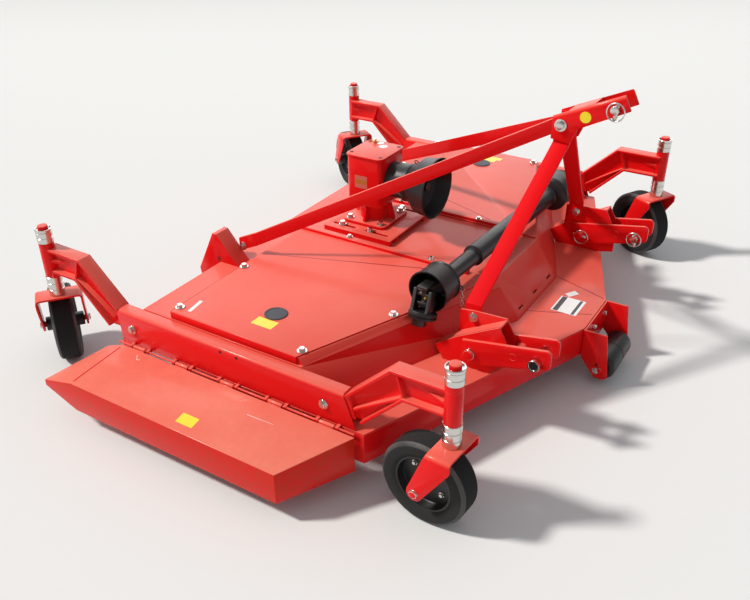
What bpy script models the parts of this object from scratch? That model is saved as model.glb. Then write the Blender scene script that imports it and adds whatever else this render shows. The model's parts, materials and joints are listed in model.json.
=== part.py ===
"""Finishing mower for a three-point linkage, standing on its four caster wheels.

Metres. +X points to the tractor, +Y to the machine's left, +Z up. The solids are laid out in the
machine's own axes: x = 0 midway between the front and rear kingpins, y = 0 on the centre plane,
z = 0 on the ground. At the end the whole machine is shifted so that the origin lies at the middle
of its footprint.
"""

from math import cos, pi, radians, sin, sqrt

import bmesh
import bpy
from mathutils import Matrix, Vector

# Common values
SEAT = 0.0003
RIGHT, LEFT = -1, 1
FRONT, REAR = 1, -1
MM = 0.001
OVERSHOOT = 0.02
WHEEL_STEPS = 20
DRUM_STEPS = 20
PIN_STEPS = 14
SMALL_STEPS = 8
BEND_STEPS = 3

# Deck
DECK_TOP = 0.206
SHEET = 0.005
SKIRT_BOTTOM = 0.105
SKIRT_SHEET = 0.005
DECK_REAR = -0.430
LOBE_FRONT = 0.800
LOBE_HALF = 0.104
DECK_SHOULDER_X = 0.478
DECK_HALF = 0.9155
OUTLET_REAR = -0.330
OUTLET_FRONT = 0.330

# Side rails, folded and open below
RAIL_SETBACK = 0.0005
RAIL_OUTER = DECK_HALF - RAIL_SETBACK
RAIL_WIDTH = 0.048
RAIL_Y = RAIL_OUTER - RAIL_WIDTH / 2
RAIL_TOP = 0.314
RAIL_SHEET = 0.005
RAIL_BEND = 0.010
RAIL_REAR = -0.428
RAIL_FRONT_TOP = 0.412
RAIL_FRONT_BOTTOM = 0.452

# Cast arms that carry the casters
ARM_Y = RAIL_Y
ARM_FLANGE = 0.050
ARM_FLANGE_THICKNESS = 0.009
ARM_WEB = 0.010
ARM_DEPTH = 0.084
ARM_KNEE_X = 0.560
ARM_TOP = 0.447
ARM_FOOT_X = 0.420
ARM_FOOT_TOP = 0.3125
ARM_SHIFT_REAR = 0.012
ARM_RIB_WIDTH = 0.042
ARM_RIB_THICKNESS = 0.008
GUSSET_LENGTH = 0.076
GUSSET_THICKNESS = 0.008
TONGUE_LENGTH = 0.100
TONGUE_BOTTOM = 0.240

# Casters
KINGPIN_X = 0.731
KINGPIN_OUTSET = 0.009
KINGPIN_Y = ARM_Y + KINGPIN_OUTSET
WHEEL_RADIUS = 0.131
TYRE_WIDTH = 0.080
TYRE_SHOULDER = 0.010
TYRE_WALL_HEIGHT = 0.020
TRAIL = 0.063
RIM_RADIUS = 0.086
RIM_WIDTH = 0.066
RIM_WALL = 0.006
WEB_THICKNESS = 0.008
HUB_RADIUS = 0.024
HUB_LENGTH = 0.124
AXLE_RADIUS = 0.010
AXLE_CLEARANCE = 0.0005
AXLE_END = 0.008
FORK_TOP = 0.276
FORK_PLATE = 0.007
FORK_BEND = 0.014
FORK_HALF_WIDTH = 0.075
FORK_FRONT = 0.038
FORK_REAR = -0.064
FORK_STRAIGHT = 0.032
FORK_FOOT_RADIUS = 0.024
PIN_RADIUS = 0.015
PIN_CLEARANCE = 0.0006
RING_RADIUS = 0.026
TUBE_RADIUS = 0.0245
TUBE_BOTTOM = 0.326
TUBE_TOP = 0.447
CAP_TOP = 0.523
CAP_HEIGHT = 0.007
CAP_RADIUS = 0.017

# Caster headings at rest, anticlockwise from straight ahead
CASTERS = (
    # name, front or rear, side, heading in degrees
    ("fr", FRONT, RIGHT, -4.0),
    ("fl", FRONT, LEFT, -28.0),
    ("rr", REAR, RIGHT, -38.0),
    ("rl", REAR, LEFT, -37.0),
)

# Belt box on top of the deck
BOX_SHEET = 0.004
BOX_SHOULDER = 0.310
BOX_GAP = 0.0015
BOX_HALF = RAIL_OUTER - RAIL_WIDTH - BOX_GAP
BOX_REAR_TOP = -0.360
BOX_REAR_BOTTOM = -0.400
NOSE_HALF = 0.170
NOSE_BOTTOM = 0.600
NOSE_TOP = 0.510
WING_BOTTOM = 0.298
WING_TOP = 0.226
PLATEAU_TOP = 0.333
NOSE_SLOTS = (-0.120, 0.0, 0.120)
NOSE_SLOT_LENGTH = 0.030
NOSE_SLOT_HEIGHT = 0.006
NOSE_SLOT_Z = 0.226

# Covers of the belt box
COVER_SHEET = 0.005
COVER_REAR = -0.252
COVER_INNER = 0.172
COVER_SETBACK = 0.002
COVER_LIP = 0.0215
COVER_BEND = 0.004
RIDGE_Y = 0.187
RIDGE_WIDTH = 0.024
RIDGE_HEIGHT = 0.012
RIDGE_REAR = -0.245
RIDGE_FRONT = 0.420

# Hinged side deflector
HINGE_OUTSET = 0.0115
HINGE_Y = DECK_HALF + HINGE_OUTSET
HINGE_Z = 0.2035
HINGE_ROD = 0.004
HINGE_CLEARANCE = 0.0006
HINGE_REAR = -0.430
HINGE_FRONT = 0.455
KNUCKLES = 5
KNUCKLE_RADIUS = 0.0075
KNUCKLE_LENGTH = 0.050
STRAP_TOP = 0.0013
STRAP_BOTTOM = 0.005
STRAP_INNER = 0.003
STRAP_LAP = 0.006
LUG_THICKNESS = 0.010
LUG_GAP = 0.004
LUG_REACH = 0.005
CHUTE_SHEET = 0.004
CHUTE_BEND = 0.008
CHUTE_SETOFF = 0.0095
CHUTE_INNER_Y = HINGE_Y + CHUTE_SETOFF
CHUTE_INNER_Z = 0.2045
CHUTE_SPAN = 0.1975
CHUTE_OUTER_Y = CHUTE_INNER_Y + CHUTE_SPAN
CHUTE_OUTER_Z = 0.168
CHUTE_BOTTOM = 0.066
CHUTE_BOTTOM_INNER = 0.086
CHUTE_FRONT_INNER = 0.462
CHUTE_FRONT_OUTER = 0.340
CHUTE_REAR_INNER = -0.404
CHUTE_REAR_OUTER = -0.430
FLANGE_RUN_INNER = 0.070
FLANGE_RUN_OUTER = 0.125
FLANGE_DROP_INNER = 0.026
FLANGE_DROP_OUTER = 0.032
FLANGE_TIP_HEIGHT = 0.022

# Top link's head, a folded channel around the ends of the legs and braces
HEAD_SHEET = 0.008
HEAD_HALF = 0.041
HEAD_BEND = 0.013
HEAD_BOLT_X = 0.626
HEAD_BOLT_Z = 0.831
HEAD_PITCH = 24.2
HEAD_WEB_REAR = 0.644
HEAD_WEB_FRONT = 0.722
HEAD_NOSE_X = 0.804
TOP_PIN_X = 0.785
TOP_PIN_RISE = 0.074
TOP_PIN_Z = HEAD_BOLT_Z + TOP_PIN_RISE
HEAD_NOSE_RISE = 0.044
HEAD_NOSE_TOP = TOP_PIN_Z + HEAD_NOSE_RISE
HEAD_CHEEK_REAR = (
    # from the bolt: forward, up
    (-0.028, -0.046),
    (0.032, -0.053),
    (0.053, -0.004),
)
HEAD_CHEEK_FRONT = (0.023, -0.045)
TOP_PIN_COLLAR_REACH = 0.006
TOP_PIN_RADIUS = 0.0127
TOP_PIN_HALF = 0.062
TOP_PIN_COLLAR = 0.008
PIN_HOLE_CLEARANCE = 0.0004

# Legs and braces of the hitch frame
LEG_WIDTH = 0.052
LEG_THICKNESS = 0.010
LEG_AHEAD = 0.004
LEG_TOP_RISE = 0.023
LEG_BEND_DROP = 0.059
LEG_FOOT_X = 0.556
LEG_FOOT_BEND_Z = 0.386
LEG_FOOT_BOTTOM = 0.318
BRACE_HEIGHT = 0.048
BRACE_THICKNESS = 0.010
BRACE_SLOPE = 0.48
BRACE_TIP = 0.024
BRACE_BEND = 0.036
BRACE_FOOT_X = -0.306
BRACE_FOOT_Z = 0.372
BRACE_FOOT_RUN = 0.050
BRACE_FOOT_END = 0.024

# Lower link clevises and the brackets that they straddle
CLEVIS_INNER = 0.428
CLEVIS_OUTER = 0.495
CLEVIS_PLATE = 0.010
CLEVIS_FRONT = 0.830
CLEVIS_NOSE_RADIUS = 0.016
CLEVIS_NOSE_TOP = 0.335
CLEVIS_NOSE_BOTTOM = 0.302
CLEVIS_SIDE = (
    # x, z, behind the nose
    (0.760, 0.270),
    (0.572, 0.222),
    (0.553, 0.236),
    (0.556, 0.303),
)
BRACKET_SHEET = 0.006
BRACKET_CLEARANCE = 0.0005
BRACKET_REAR = 0.490
BRACKET_TALL_TOE = 0.655
BRACKET_TALL = (
    # x, z
    (0.462, 0.250),
    (0.516, 0.290),
    (0.518, 0.366),
    (0.560, 0.372),
    (0.668, 0.377),
    (0.698, 0.322),
    (0.700, 0.272),
    (0.712, 0.250),
    (0.712, 0.218),
)
BRACKET_SHORT_TOE = 0.640
BRACKET_SHORT = (
    # x, z
    (0.462, 0.250),
    (0.528, 0.297),
    (0.666, 0.374),
    (0.693, 0.326),
    (0.690, 0.250),
)
LOWER_PIN_X = 0.788
LOWER_PIN_Z = 0.304
LOWER_PIN_RADIUS = 0.014
LOWER_PIN_INNER = 0.400
LOWER_PIN_OUTER = 0.520
LOWER_PIN_COLLAR = 0.0175
CROSS_TUBE_X = 0.718
CROSS_TUBE_Z = 0.292
CROSS_TUBE_RADIUS = 0.017
HEEL_PIN_X = 0.584
HEEL_PIN_Z = 0.265
HEEL_PIN_RADIUS = 0.015
HEEL_PIN_OUTER = 0.516

# Rear brackets of the braces
REAR_BRACKET_Y = 0.440
REAR_BRACKET_WIDTH = 0.062
REAR_BRACKET_SHEET = 0.006
REAR_BRACKET_SIDE = (
    # x, z, from the foot up and round to the belt box
    (-0.408, 0.222),
    (-0.462, 0.222),
    (-0.468, 0.262),
    (-0.392, 0.412),
    (-0.374, 0.412),
)
REAR_BRACKET_TOE = -0.290
REAR_BRACKET_HEEL = (-0.402, 0.235)
REAR_BRACKET_HOLLOW = (
    # x, z
    (-0.500, 0.200),
    (-0.500, 0.262),
    (-0.410, 0.440),
    (-0.384, 0.400),
    (-0.300, 0.302),
    (-0.300, 0.200),
)

# Gearbox
GEARBOX_X = -0.051
GEARBOX_HALF_X = 0.075
GEARBOX_HALF_Y = 0.084
GEARBOX_CORNER = 0.022
GEARBOX_TOP = 0.613
GEARBOX_BOTTOM = 0.418
LID_HEIGHT = 0.008
LID_LEDGE = 0.004
NECK_RADIUS = 0.056
NECK_RIB_REACH = 0.082
NECK_RIB_THICKNESS = 0.010
NECK_RIB_TOE = 0.006
FOOT_HEIGHT = 0.012
FOOT_HALF_X = 0.088
FOOT_HALF_Y = 0.090
MOUNT_TOP = 0.353
MOUNT_PLATE = 0.008
MOUNT_REAR = -0.178
MOUNT_FRONT = 0.098
MOUNT_HALF_Y = 0.149
MOUNT_RAIL = 0.016
MOUNT_SLOT_Y = 0.113
MOUNT_SLOT_WIDTH = 0.012
MOUNT_SLOTS = (
    # rear, front
    (-0.160, -0.066),
    (-0.024, 0.070),
)
MOUNT_WINDOW = 0.050
SHAFT_Z = 0.519
SHAFT_RADIUS = 0.0175
SHAFT_CLEARANCE = 0.001
SHAFT_DEPTH = 0.029
SHAFT_FRONT = 0.165
SEAL_RADIUS = 0.045
SEAL_LENGTH = 0.012
GUARD_WALL = 0.003
GUARD_SLEEVE_RADIUS = 0.062
GUARD_SLEEVE_LENGTH = 0.068
GUARD_BAND = 0.005
GUARD_BAND_LENGTH = 0.012
GUARD_DRUM_RADIUS = 0.0965
GUARD_DRUM_REAR = 0.143
GUARD_RIM_X = 0.200
GUARD_RIM_RADIUS = 0.1075

# Loose drive shaft carried across the covers
DRIVE_NEAR = (0.416, -0.460, 0.4027)
DRIVE_FAR = (0.463, 0.500, 0.4027)
BELL_RADIUS = 0.0645
BELL_LENGTH = 0.092
BELL_LIP = 0.003
BELL_SHOULDER = 0.014
TUBE_BIG = 0.033
TUBE_SMALL = 0.027
TUBE_STEP = 0.30
TUBE_END = 0.020
TUBE_BORE = 0.024
YOKE_STEM = 0.0237
YOKE_RADIUS = 0.034
YOKE_HUB = 0.018
YOKE_EAR_INNER = 0.020
YOKE_EAR_OUTER = 0.032
YOKE_EAR_WIDTH = 0.034
YOKE_REACH = 0.128
CROSS_RADIUS = 0.009
CROSS_HALF = 0.026
TAIL_EAR = 0.050
TAIL_COLLAR = 0.016
TAIL_LENGTH = 0.097
TAIL_RADIUS = 0.022
HANG_ANGLE = 72.0

# Roller in front
ROLLER_X = 0.868
ROLLER_Z = 0.070
ROLLER_RADIUS = 0.044
ROLLER_HALF = 0.094
ROLLER_CLEARANCE = 0.0006
ROLLER_AXLE = 0.008
ROLLER_PLATE = 0.006
ROLLER_GAP = 0.010
BRACKET_TOP = 0.222
BRACKET_LOW = 0.100
BRACKET_REACH = 0.075
ROLLER_CHEEK_FRONT = 0.027
ROLLER_CHEEK_DROP = 0.034
ROLLER_CHEEK_RADIUS = 0.016
ROLLER_CHEEK_FALL = 0.008

# Blades
BLADE_RADIUS = 0.310
BLADE_WIDTH = 0.060
BLADE_THICKNESS = 0.006
BLADE_Z = 0.122
BLADE_LIFT = 0.020
BLADE_LIFT_LENGTH = 0.120
BOSS_RADIUS = 0.030
BOSS_DROP = 0.010
SPINDLE_RADIUS = 0.036
SPINDLE_FLANGE = 0.070
SPINDLE_FLANGE_SHEET = 0.010
SPINDLE_TAPER = 0.009
SPINDLE_BOTTOM = 0.146
SPINDLES = (
    # name, x, y, angle at rest in degrees
    ("centre", 0.455, 0.0, 20.0),
    ("right", -0.020, -0.590, -35.0),
    ("left", -0.020, 0.590, 65.0),
)

RED = (0.70, 0.006, 0.010)
BLACK = (0.012, 0.012, 0.013)
ZINC = (0.62, 0.62, 0.60)
STEEL = (0.30, 0.30, 0.31)
MATERIALS = (
    # slot, colour, roughness, metallic
    ("red_paint", RED, 0.22, 0.0),
    ("tyre_rubber", BLACK, 0.75, 0.0),
    ("black_plastic", BLACK, 0.40, 0.0),
    ("zinc_steel", ZINC, 0.32, 1.0),
    ("bare_steel", STEEL, 0.35, 1.0),
)


# Scene and shapes


def clear_scene():
    for obj in list(bpy.data.objects):
        bpy.data.objects.remove(obj, do_unlink=True)


def make_materials():
    for slot, colour, roughness, metallic in MATERIALS:
        material = bpy.data.materials.new(slot)
        material.use_nodes = True
        shader = material.node_tree.nodes["Principled BSDF"]
        shader.inputs["Base Color"].default_value = (*colour, 1.0)
        shader.inputs["Roughness"].default_value = roughness
        shader.inputs["Metallic"].default_value = metallic


def carrier(name, parent, place=(0.0, 0.0, 0.0), yaw=0.0):
    """An empty on a joint's axis, which the moving pieces hang from."""
    empty = bpy.data.objects.new(name, None)
    bpy.context.collection.objects.link(empty)
    empty.parent = parent
    empty.location = place
    empty.rotation_euler = (0.0, 0.0, yaw)
    return empty


def finish_piece(obj, name, slot, parent, smooth=False):
    obj.name = name
    obj.data.name = name
    obj.data.materials.clear()
    obj.data.materials.append(bpy.data.materials[slot])
    obj.parent = parent
    if smooth:
        obj.data.shade_smooth()
        obj.data.set_sharp_from_angle(angle=radians(35))
    return obj


def from_bmesh(shape):
    bmesh.ops.recalc_face_normals(shape, faces=shape.faces)
    mesh = bpy.data.meshes.new("shape")
    shape.to_mesh(mesh)
    shape.free()
    obj = bpy.data.objects.new("shape", mesh)
    bpy.context.collection.objects.link(obj)
    return obj


def axis_point(axis, along, u, v):
    """A point at `along` on the named axis, with u and v on the two others in order."""
    return {"x": (along, u, v), "y": (u, along, v), "z": (u, v, along)}[axis]


def prism(outline, axis, low, high):
    """The outline, a list of (u, v), extruded along the named axis."""
    shape = bmesh.new()
    corners = [shape.verts.new(axis_point(axis, low, u, v)) for u, v in outline]
    face = shape.faces.new(corners)
    grown = bmesh.ops.extrude_face_region(shape, geom=[face])["geom"]
    moved = [item for item in grown if isinstance(item, bmesh.types.BMVert)]
    bmesh.ops.translate(shape, verts=moved, vec=axis_point(axis, high - low, 0.0, 0.0))
    return from_bmesh(shape)


def block(low, high):
    outline = [(low[0], low[1]), (high[0], low[1]), (high[0], high[1]), (low[0], high[1])]
    return prism(outline, "z", low[2], high[2])


def turned(profile, steps, axis="z", centre=(0.0, 0.0, 0.0), closed=False):
    """A profile of (radius, height) turned round the named axis through centre.

    An open profile starts and ends at radius 0. A closed one is a loop clear of the axis.
    """
    shape = bmesh.new()
    rings = []
    for radius, height in profile:
        count = 1 if radius < MM * 0.01 else steps
        ring = []
        for k in range(count):
            angle = 2 * pi * (k + 0.5) / steps
            point = axis_point(axis, height, radius * cos(angle), radius * sin(angle))
            ring.append(shape.verts.new(Vector(point) + Vector(centre)))
        rings.append(ring)
    pairs = list(zip(rings, rings[1:]))
    if closed:
        pairs.append((rings[-1], rings[0]))
    for lower, upper in pairs:
        for k in range(steps):
            after = (k + 1) % steps
            corners = [lower[k % len(lower)], lower[after % len(lower)]]
            corners += [upper[after % len(upper)], upper[k % len(upper)]]
            unique = list(dict.fromkeys(corners))
            if len(unique) > 2:
                shape.faces.new(unique)
    return from_bmesh(shape)


def rod(radius, axis, low, high, centre=(0.0, 0.0, 0.0), steps=PIN_STEPS):
    """A plain cylinder from low to high along the axis. centre gives its place on the others."""
    profile = [(0.0, low), (radius, low), (radius, high), (0.0, high)]
    return turned(profile, steps, axis, centre)


def bar(stations, wide_axis, width, thickness):
    """A flat bar through the stations, folded where they turn, its width along wide_axis."""
    wide = Vector(axis_point(wide_axis, width / 2, 0.0, 0.0))
    flat = [Vector(station) for station in stations]
    levelled = [Vector(v) - v.project(wide) for v in flat]
    shape = bmesh.new()
    rings = []
    for k, place in enumerate(flat):
        before = levelled[k] - levelled[max(k - 1, 0)]
        after = levelled[min(k + 1, len(flat) - 1)] - levelled[k]
        runs = [run.normalized() for run in (before, after) if run.length > MM]
        middle = sum(runs, Vector()).normalized()
        side = middle.cross(wide).normalized()
        half = side * (thickness / 2 / max(middle.dot(runs[0]), 0.3))
        ring = [place + wide + half, place + wide - half, place - wide - half, place - wide + half]
        rings.append([shape.verts.new(corner) for corner in ring])
    for lower, upper in zip(rings, rings[1:]):
        for k in range(4):
            shape.faces.new([lower[k], lower[(k + 1) % 4], upper[(k + 1) % 4], upper[k]])
    shape.faces.new(rings[0])
    shape.faces.new(rings[-1])
    return from_bmesh(shape)


def loft(sections):
    """Closed outlines of equal count, each a list of points, skinned one to the next and capped."""
    shape = bmesh.new()
    rings = [[shape.verts.new(point) for point in section] for section in sections]
    count = len(rings[0])
    for lower, upper in zip(rings, rings[1:]):
        for k in range(count):
            after = (k + 1) % count
            shape.faces.new([lower[k], lower[after], upper[after], upper[k]])
    shape.faces.new(rings[0])
    shape.faces.new(rings[-1])
    return from_bmesh(shape)


def bake(obj):
    """Applies the modifiers of a piece."""
    bpy.context.view_layer.update()
    graph = bpy.context.evaluated_depsgraph_get()
    mesh = bpy.data.meshes.new_from_object(obj.evaluated_get(graph))
    obj.modifiers.clear()
    old = obj.data
    obj.data = mesh
    bpy.data.meshes.remove(old)
    return obj


def boolean(base, others, operation):
    for other in others:
        modifier = base.modifiers.new(operation.lower(), "BOOLEAN")
        modifier.operation = operation
        modifier.object = other
        bake(base)
        bpy.data.objects.remove(other, do_unlink=True)
    return base


def fuse(base, *others):
    return boolean(base, others, "UNION")


def cut(base, *others):
    return boolean(base, others, "DIFFERENCE")


def common(base, *others):
    return boolean(base, others, "INTERSECT")


def to_side(obj, side):
    """Mirrors a piece that was drawn on the left over to the right, where side says so."""
    if side == RIGHT:
        obj.data.transform(Matrix.Diagonal((1.0, -1.0, 1.0, 1.0)))
        obj.data.flip_normals()
    return obj


def round_edges(obj, chosen, radius):
    """Rounds the sharp edges whose middle passes the test chosen(point)."""
    shape = bmesh.new()
    shape.from_mesh(obj.data)
    edges = []
    for edge in shape.edges:
        middle = (edge.verts[0].co + edge.verts[1].co) / 2
        if chosen(middle) and edge.calc_face_angle(0.0) > radians(30):
            edges.append(edge)
    bmesh.ops.bevel(
        shape, geom=edges, offset=radius, segments=BEND_STEPS - 1, profile=0.5, affect="EDGES"
    )
    shape.to_mesh(obj.data)
    shape.free()
    return obj


def sheet_from(points, faces, thickness, bend):
    """A folded sheet: faces over the points give its outer side, with bends of the given radius."""
    shape = bmesh.new()
    corners = [shape.verts.new(point) for point in points]
    for face in faces:
        shape.faces.new([corners[k] for k in face])
    folds = [edge for edge in shape.edges if len(edge.link_faces) == 2]
    folds = [edge for edge in folds if edge.calc_face_angle() > radians(8)]
    bmesh.ops.bevel(
        shape, geom=folds, offset=bend, segments=BEND_STEPS - 1, profile=0.5, affect="EDGES"
    )
    mesh = bpy.data.meshes.new("sheet")
    shape.to_mesh(mesh)
    shape.free()
    obj = bpy.data.objects.new("sheet", mesh)
    bpy.context.collection.objects.link(obj)
    solidify = obj.modifiers.new("thickness", "SOLIDIFY")
    solidify.thickness = thickness
    solidify.offset = -1.0
    solidify.use_even_offset = True
    return bake(obj)


def arc(centre, radius, start, end, steps):
    """Points (u, v) on an arc, with its ends, angles in degrees."""
    points = []
    for k in range(steps + 1):
        angle = radians(start + (end - start) * k / steps)
        points.append((centre[0] + radius * cos(angle), centre[1] + radius * sin(angle)))
    return points


def channel(half, low, top, sheet, bend):
    """The section of a sheet folded to an upside-down U, as (across, height)."""
    left = (bend - half, top - bend)
    right = (half - bend, top - bend)
    points = [(-half, low)]
    points += arc(left, bend, 180, 90, BEND_STEPS)
    points += arc(right, bend, 90, 0, BEND_STEPS)
    points += [(half, low), (half - sheet, low)]
    points += arc(right, bend - sheet, 0, 90, BEND_STEPS)
    points += arc(left, bend - sheet, 90, 180, BEND_STEPS)
    points.append((sheet - half, low))
    return points


def rounded(half_x, half_y, radius, centre_x=0.0, steps=3):
    """A rectangle's plan with round corners."""
    points = []
    for sx, sy, start in ((1, 1, 0), (-1, 1, 90), (-1, -1, 180), (1, -1, 270)):
        corner = (centre_x + sx * (half_x - radius), sy * (half_y - radius))
        points += arc(corner, radius, start, start + 90, steps)
    return points


def mirrored(points, side):
    return [(x, side * y) for x, y in points]


# Deck


def deck_outline(inset=0.0):
    """The deck's plan from above, drawn in by inset all round."""
    slope = (LOBE_FRONT - DECK_SHOULDER_X) / (DECK_HALF - LOBE_HALF)
    stretch = sqrt(1 + slope * slope)
    front = LOBE_FRONT - inset
    half = DECK_HALF - inset
    lobe = LOBE_HALF - inset * (stretch - 1) / slope
    shoulder = DECK_SHOULDER_X - inset * stretch + slope * inset
    rear = DECK_REAR + inset
    left = [(front, lobe), (shoulder, half), (rear, half)]
    return mirrored(left, RIGHT)[::-1] + left


def make_deck(machine):
    plate = prism(deck_outline(), "z", DECK_TOP - SHEET, DECK_TOP)
    finish_piece(plate, "deck_plate", "red_paint", machine)
    top = DECK_TOP - SHEET - SEAT
    skirt = prism(deck_outline(), "z", SKIRT_BOTTOM, top)
    low, high = SKIRT_BOTTOM - OVERSHOOT, top + OVERSHOOT
    inside = prism(deck_outline(SKIRT_SHEET), "z", low, high)
    outlet = block((OUTLET_REAR, -DECK_HALF - OVERSHOOT, low), (OUTLET_FRONT, OVERSHOOT - DECK_HALF, high))
    cut(skirt, inside, outlet)
    finish_piece(skirt, "deck_skirt", "red_paint", machine)


def box_climb(level):
    """How far up the belt box's slopes a height is, 0 at the deck and 1 at the plateau."""
    return (level - DECK_TOP) / (PLATEAU_TOP - DECK_TOP)


def box_front(level):
    """Where the nose and the outer ends of the wings lie at a height."""
    climb = box_climb(level)
    nose = NOSE_BOTTOM + (NOSE_TOP - NOSE_BOTTOM) * climb
    wing = WING_BOTTOM + (WING_TOP - WING_BOTTOM) * climb
    return nose, wing


def wing_slope(nose, wing):
    return (nose - wing) / (BOX_HALF - NOSE_HALF)


def box_section(level, inset, plateau=False):
    """The belt box's plan at a height: blunt nose, raked wings and a sloping back."""
    nose, wing = (x - inset for x in box_front(level))
    back = BOX_REAR_BOTTOM + (BOX_REAR_TOP - BOX_REAR_BOTTOM) * box_climb(level) + inset
    half = BOX_HALF - inset
    if plateau:
        back = COVER_REAR + COVER_SHEET + MM
        half = BOX_HALF - COVER_SETBACK - COVER_SHEET - MM
        wing += wing_slope(nose, wing) * (BOX_HALF - half)
    left = [(nose, NOSE_HALF), (wing, half), (back, half)]
    return [(x, y, level) for x, y in mirrored(left, RIGHT)[::-1] + left]


def make_belt_box(machine):
    low = DECK_TOP + SEAT
    inner_top = BOX_SHOULDER - BOX_SHEET
    body = loft([box_section(low, 0.0), box_section(BOX_SHOULDER, 0.0)])
    plateau = loft([box_section(BOX_SHOULDER - MM, 0.0, True), box_section(PLATEAU_TOP, 0.0, True)])
    fuse(body, plateau)
    hollow = loft([box_section(low - MM, BOX_SHEET), box_section(inner_top, BOX_SHEET)])
    slots = []
    for y in NOSE_SLOTS:
        corner = (NOSE_TOP, y - NOSE_SLOT_LENGTH / 2, NOSE_SLOT_Z - NOSE_SLOT_HEIGHT / 2)
        slots.append(block(corner, (NOSE_BOTTOM, y + NOSE_SLOT_LENGTH / 2, corner[2] + NOSE_SLOT_HEIGHT)))
    cut(body, hollow, *slots)
    finish_piece(body, "belt_box", "red_paint", machine)


def make_covers(machine):
    """Two covers with turned-down edges at the side and back, and a bar along the inner edge."""
    low = PLATEAU_TOP + SEAT
    top = low + COVER_SHEET
    lip_low = low - COVER_LIP
    half = BOX_HALF - COVER_SETBACK
    nose, wing = box_front(top)
    front_inner = nose + (NOSE_HALF - COVER_INNER) * wing_slope(nose, wing)
    for name, side in (("right", RIGHT), ("left", LEFT)):
        outline = [(COVER_REAR, COVER_INNER), (front_inner, COVER_INNER), (wing, half), (COVER_REAR, half)]
        cover = prism(outline, "z", low, top)
        side_lip = block((COVER_REAR, half - COVER_SHEET, lip_low), (wing, half, top - MM))
        back_lip = block((COVER_REAR, COVER_INNER, lip_low), (COVER_REAR + COVER_SHEET, half, top - MM))
        inner = RIDGE_Y - RIDGE_WIDTH / 2
        ridge = block((RIDGE_REAR, inner, top - MM), (RIDGE_FRONT, inner + RIDGE_WIDTH, top + RIDGE_HEIGHT))
        fuse(cover, side_lip, back_lip)
        round_edges(
            cover,
            lambda middle: middle.z > top - SEAT and (middle.y > half - SEAT or middle.x < COVER_REAR + SEAT),
            COVER_BEND,
        )
        fuse(cover, ridge)
        finish_piece(to_side(cover, side), f"cover_{name}", "red_paint", machine)


def make_rails(machine):
    """Folded rails, open below, with raked front ends."""
    low = DECK_TOP + SEAT
    section = channel(RAIL_WIDTH / 2, low, RAIL_TOP, RAIL_SHEET, RAIL_BEND)
    section = [(RAIL_Y + across, height) for across, height in section]
    beyond = RAIL_FRONT_BOTTOM + OVERSHOOT
    under, over = low - OVERSHOOT, RAIL_TOP + OVERSHOOT
    for name, side in (("right", RIGHT), ("left", LEFT)):
        rail = prism(section, "x", RAIL_REAR, RAIL_FRONT_BOTTOM)
        rake = [(rail_end(FRONT, under), under), (beyond, under), (beyond, over)]
        rake.append((rail_end(FRONT, over), over))
        cut(rail, prism(rake, "y", RAIL_Y - RAIL_WIDTH, RAIL_Y + RAIL_WIDTH))
        finish_piece(to_side(rail, side), f"rail_{name}", "red_paint", machine)


# Casters and arms


def rail_end(end, level):
    """How far the rail reaches towards the casters at a height."""
    if end == REAR:
        return -RAIL_REAR
    share = (level - DECK_TOP) / (RAIL_TOP - DECK_TOP)
    return RAIL_FRONT_BOTTOM + (RAIL_FRONT_TOP - RAIL_FRONT_BOTTOM) * share


def arm_line(depth, shift):
    """The arm's side view, (x, z), its top line lowered by depth."""
    knee = ARM_KNEE_X + shift + depth * 0.42
    foot = ARM_FOOT_X + shift + depth * 0.56
    return [(foot, ARM_FOOT_TOP - depth * 0.93), (knee, ARM_TOP - depth), (KINGPIN_X, ARM_TOP - depth)]


def arm_ribs(upper, lower):
    """The rib at the knee and the one along the middle of the slope."""
    knee_top, knee_low = upper[1], lower[1]
    half = ARM_FLANGE_THICKNESS / 2
    upright = [(knee_top[0] + 0.012, ARM_Y, knee_top[1] - half), (knee_low[0], ARM_Y, knee_low[1] + half)]
    middle = [(upper[0][0] + lower[0][0]) / 2, (upper[0][1] + lower[0][1]) / 2]
    sloping = [(knee_low[0] - 0.004, ARM_Y, knee_low[1] + 0.006), (middle[0], ARM_Y, middle[1])]
    return [bar(line, "y", ARM_RIB_WIDTH, ARM_RIB_THICKNESS) for line in (upright, sloping)]


def arm_gusset():
    """The level gusset that widens from the web to the kingpin's tube."""
    middle = ARM_TOP - ARM_DEPTH / 2
    root = KINGPIN_X - GUSSET_LENGTH
    outline = [(root, ARM_Y - ARM_WEB / 2), (KINGPIN_X, KINGPIN_Y - TUBE_RADIUS + MM)]
    outline += [(KINGPIN_X, KINGPIN_Y + TUBE_RADIUS - MM), (root, ARM_Y + ARM_WEB / 2)]
    return prism(outline, "z", middle - GUSSET_THICKNESS / 2, middle + GUSSET_THICKNESS / 2)


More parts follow.
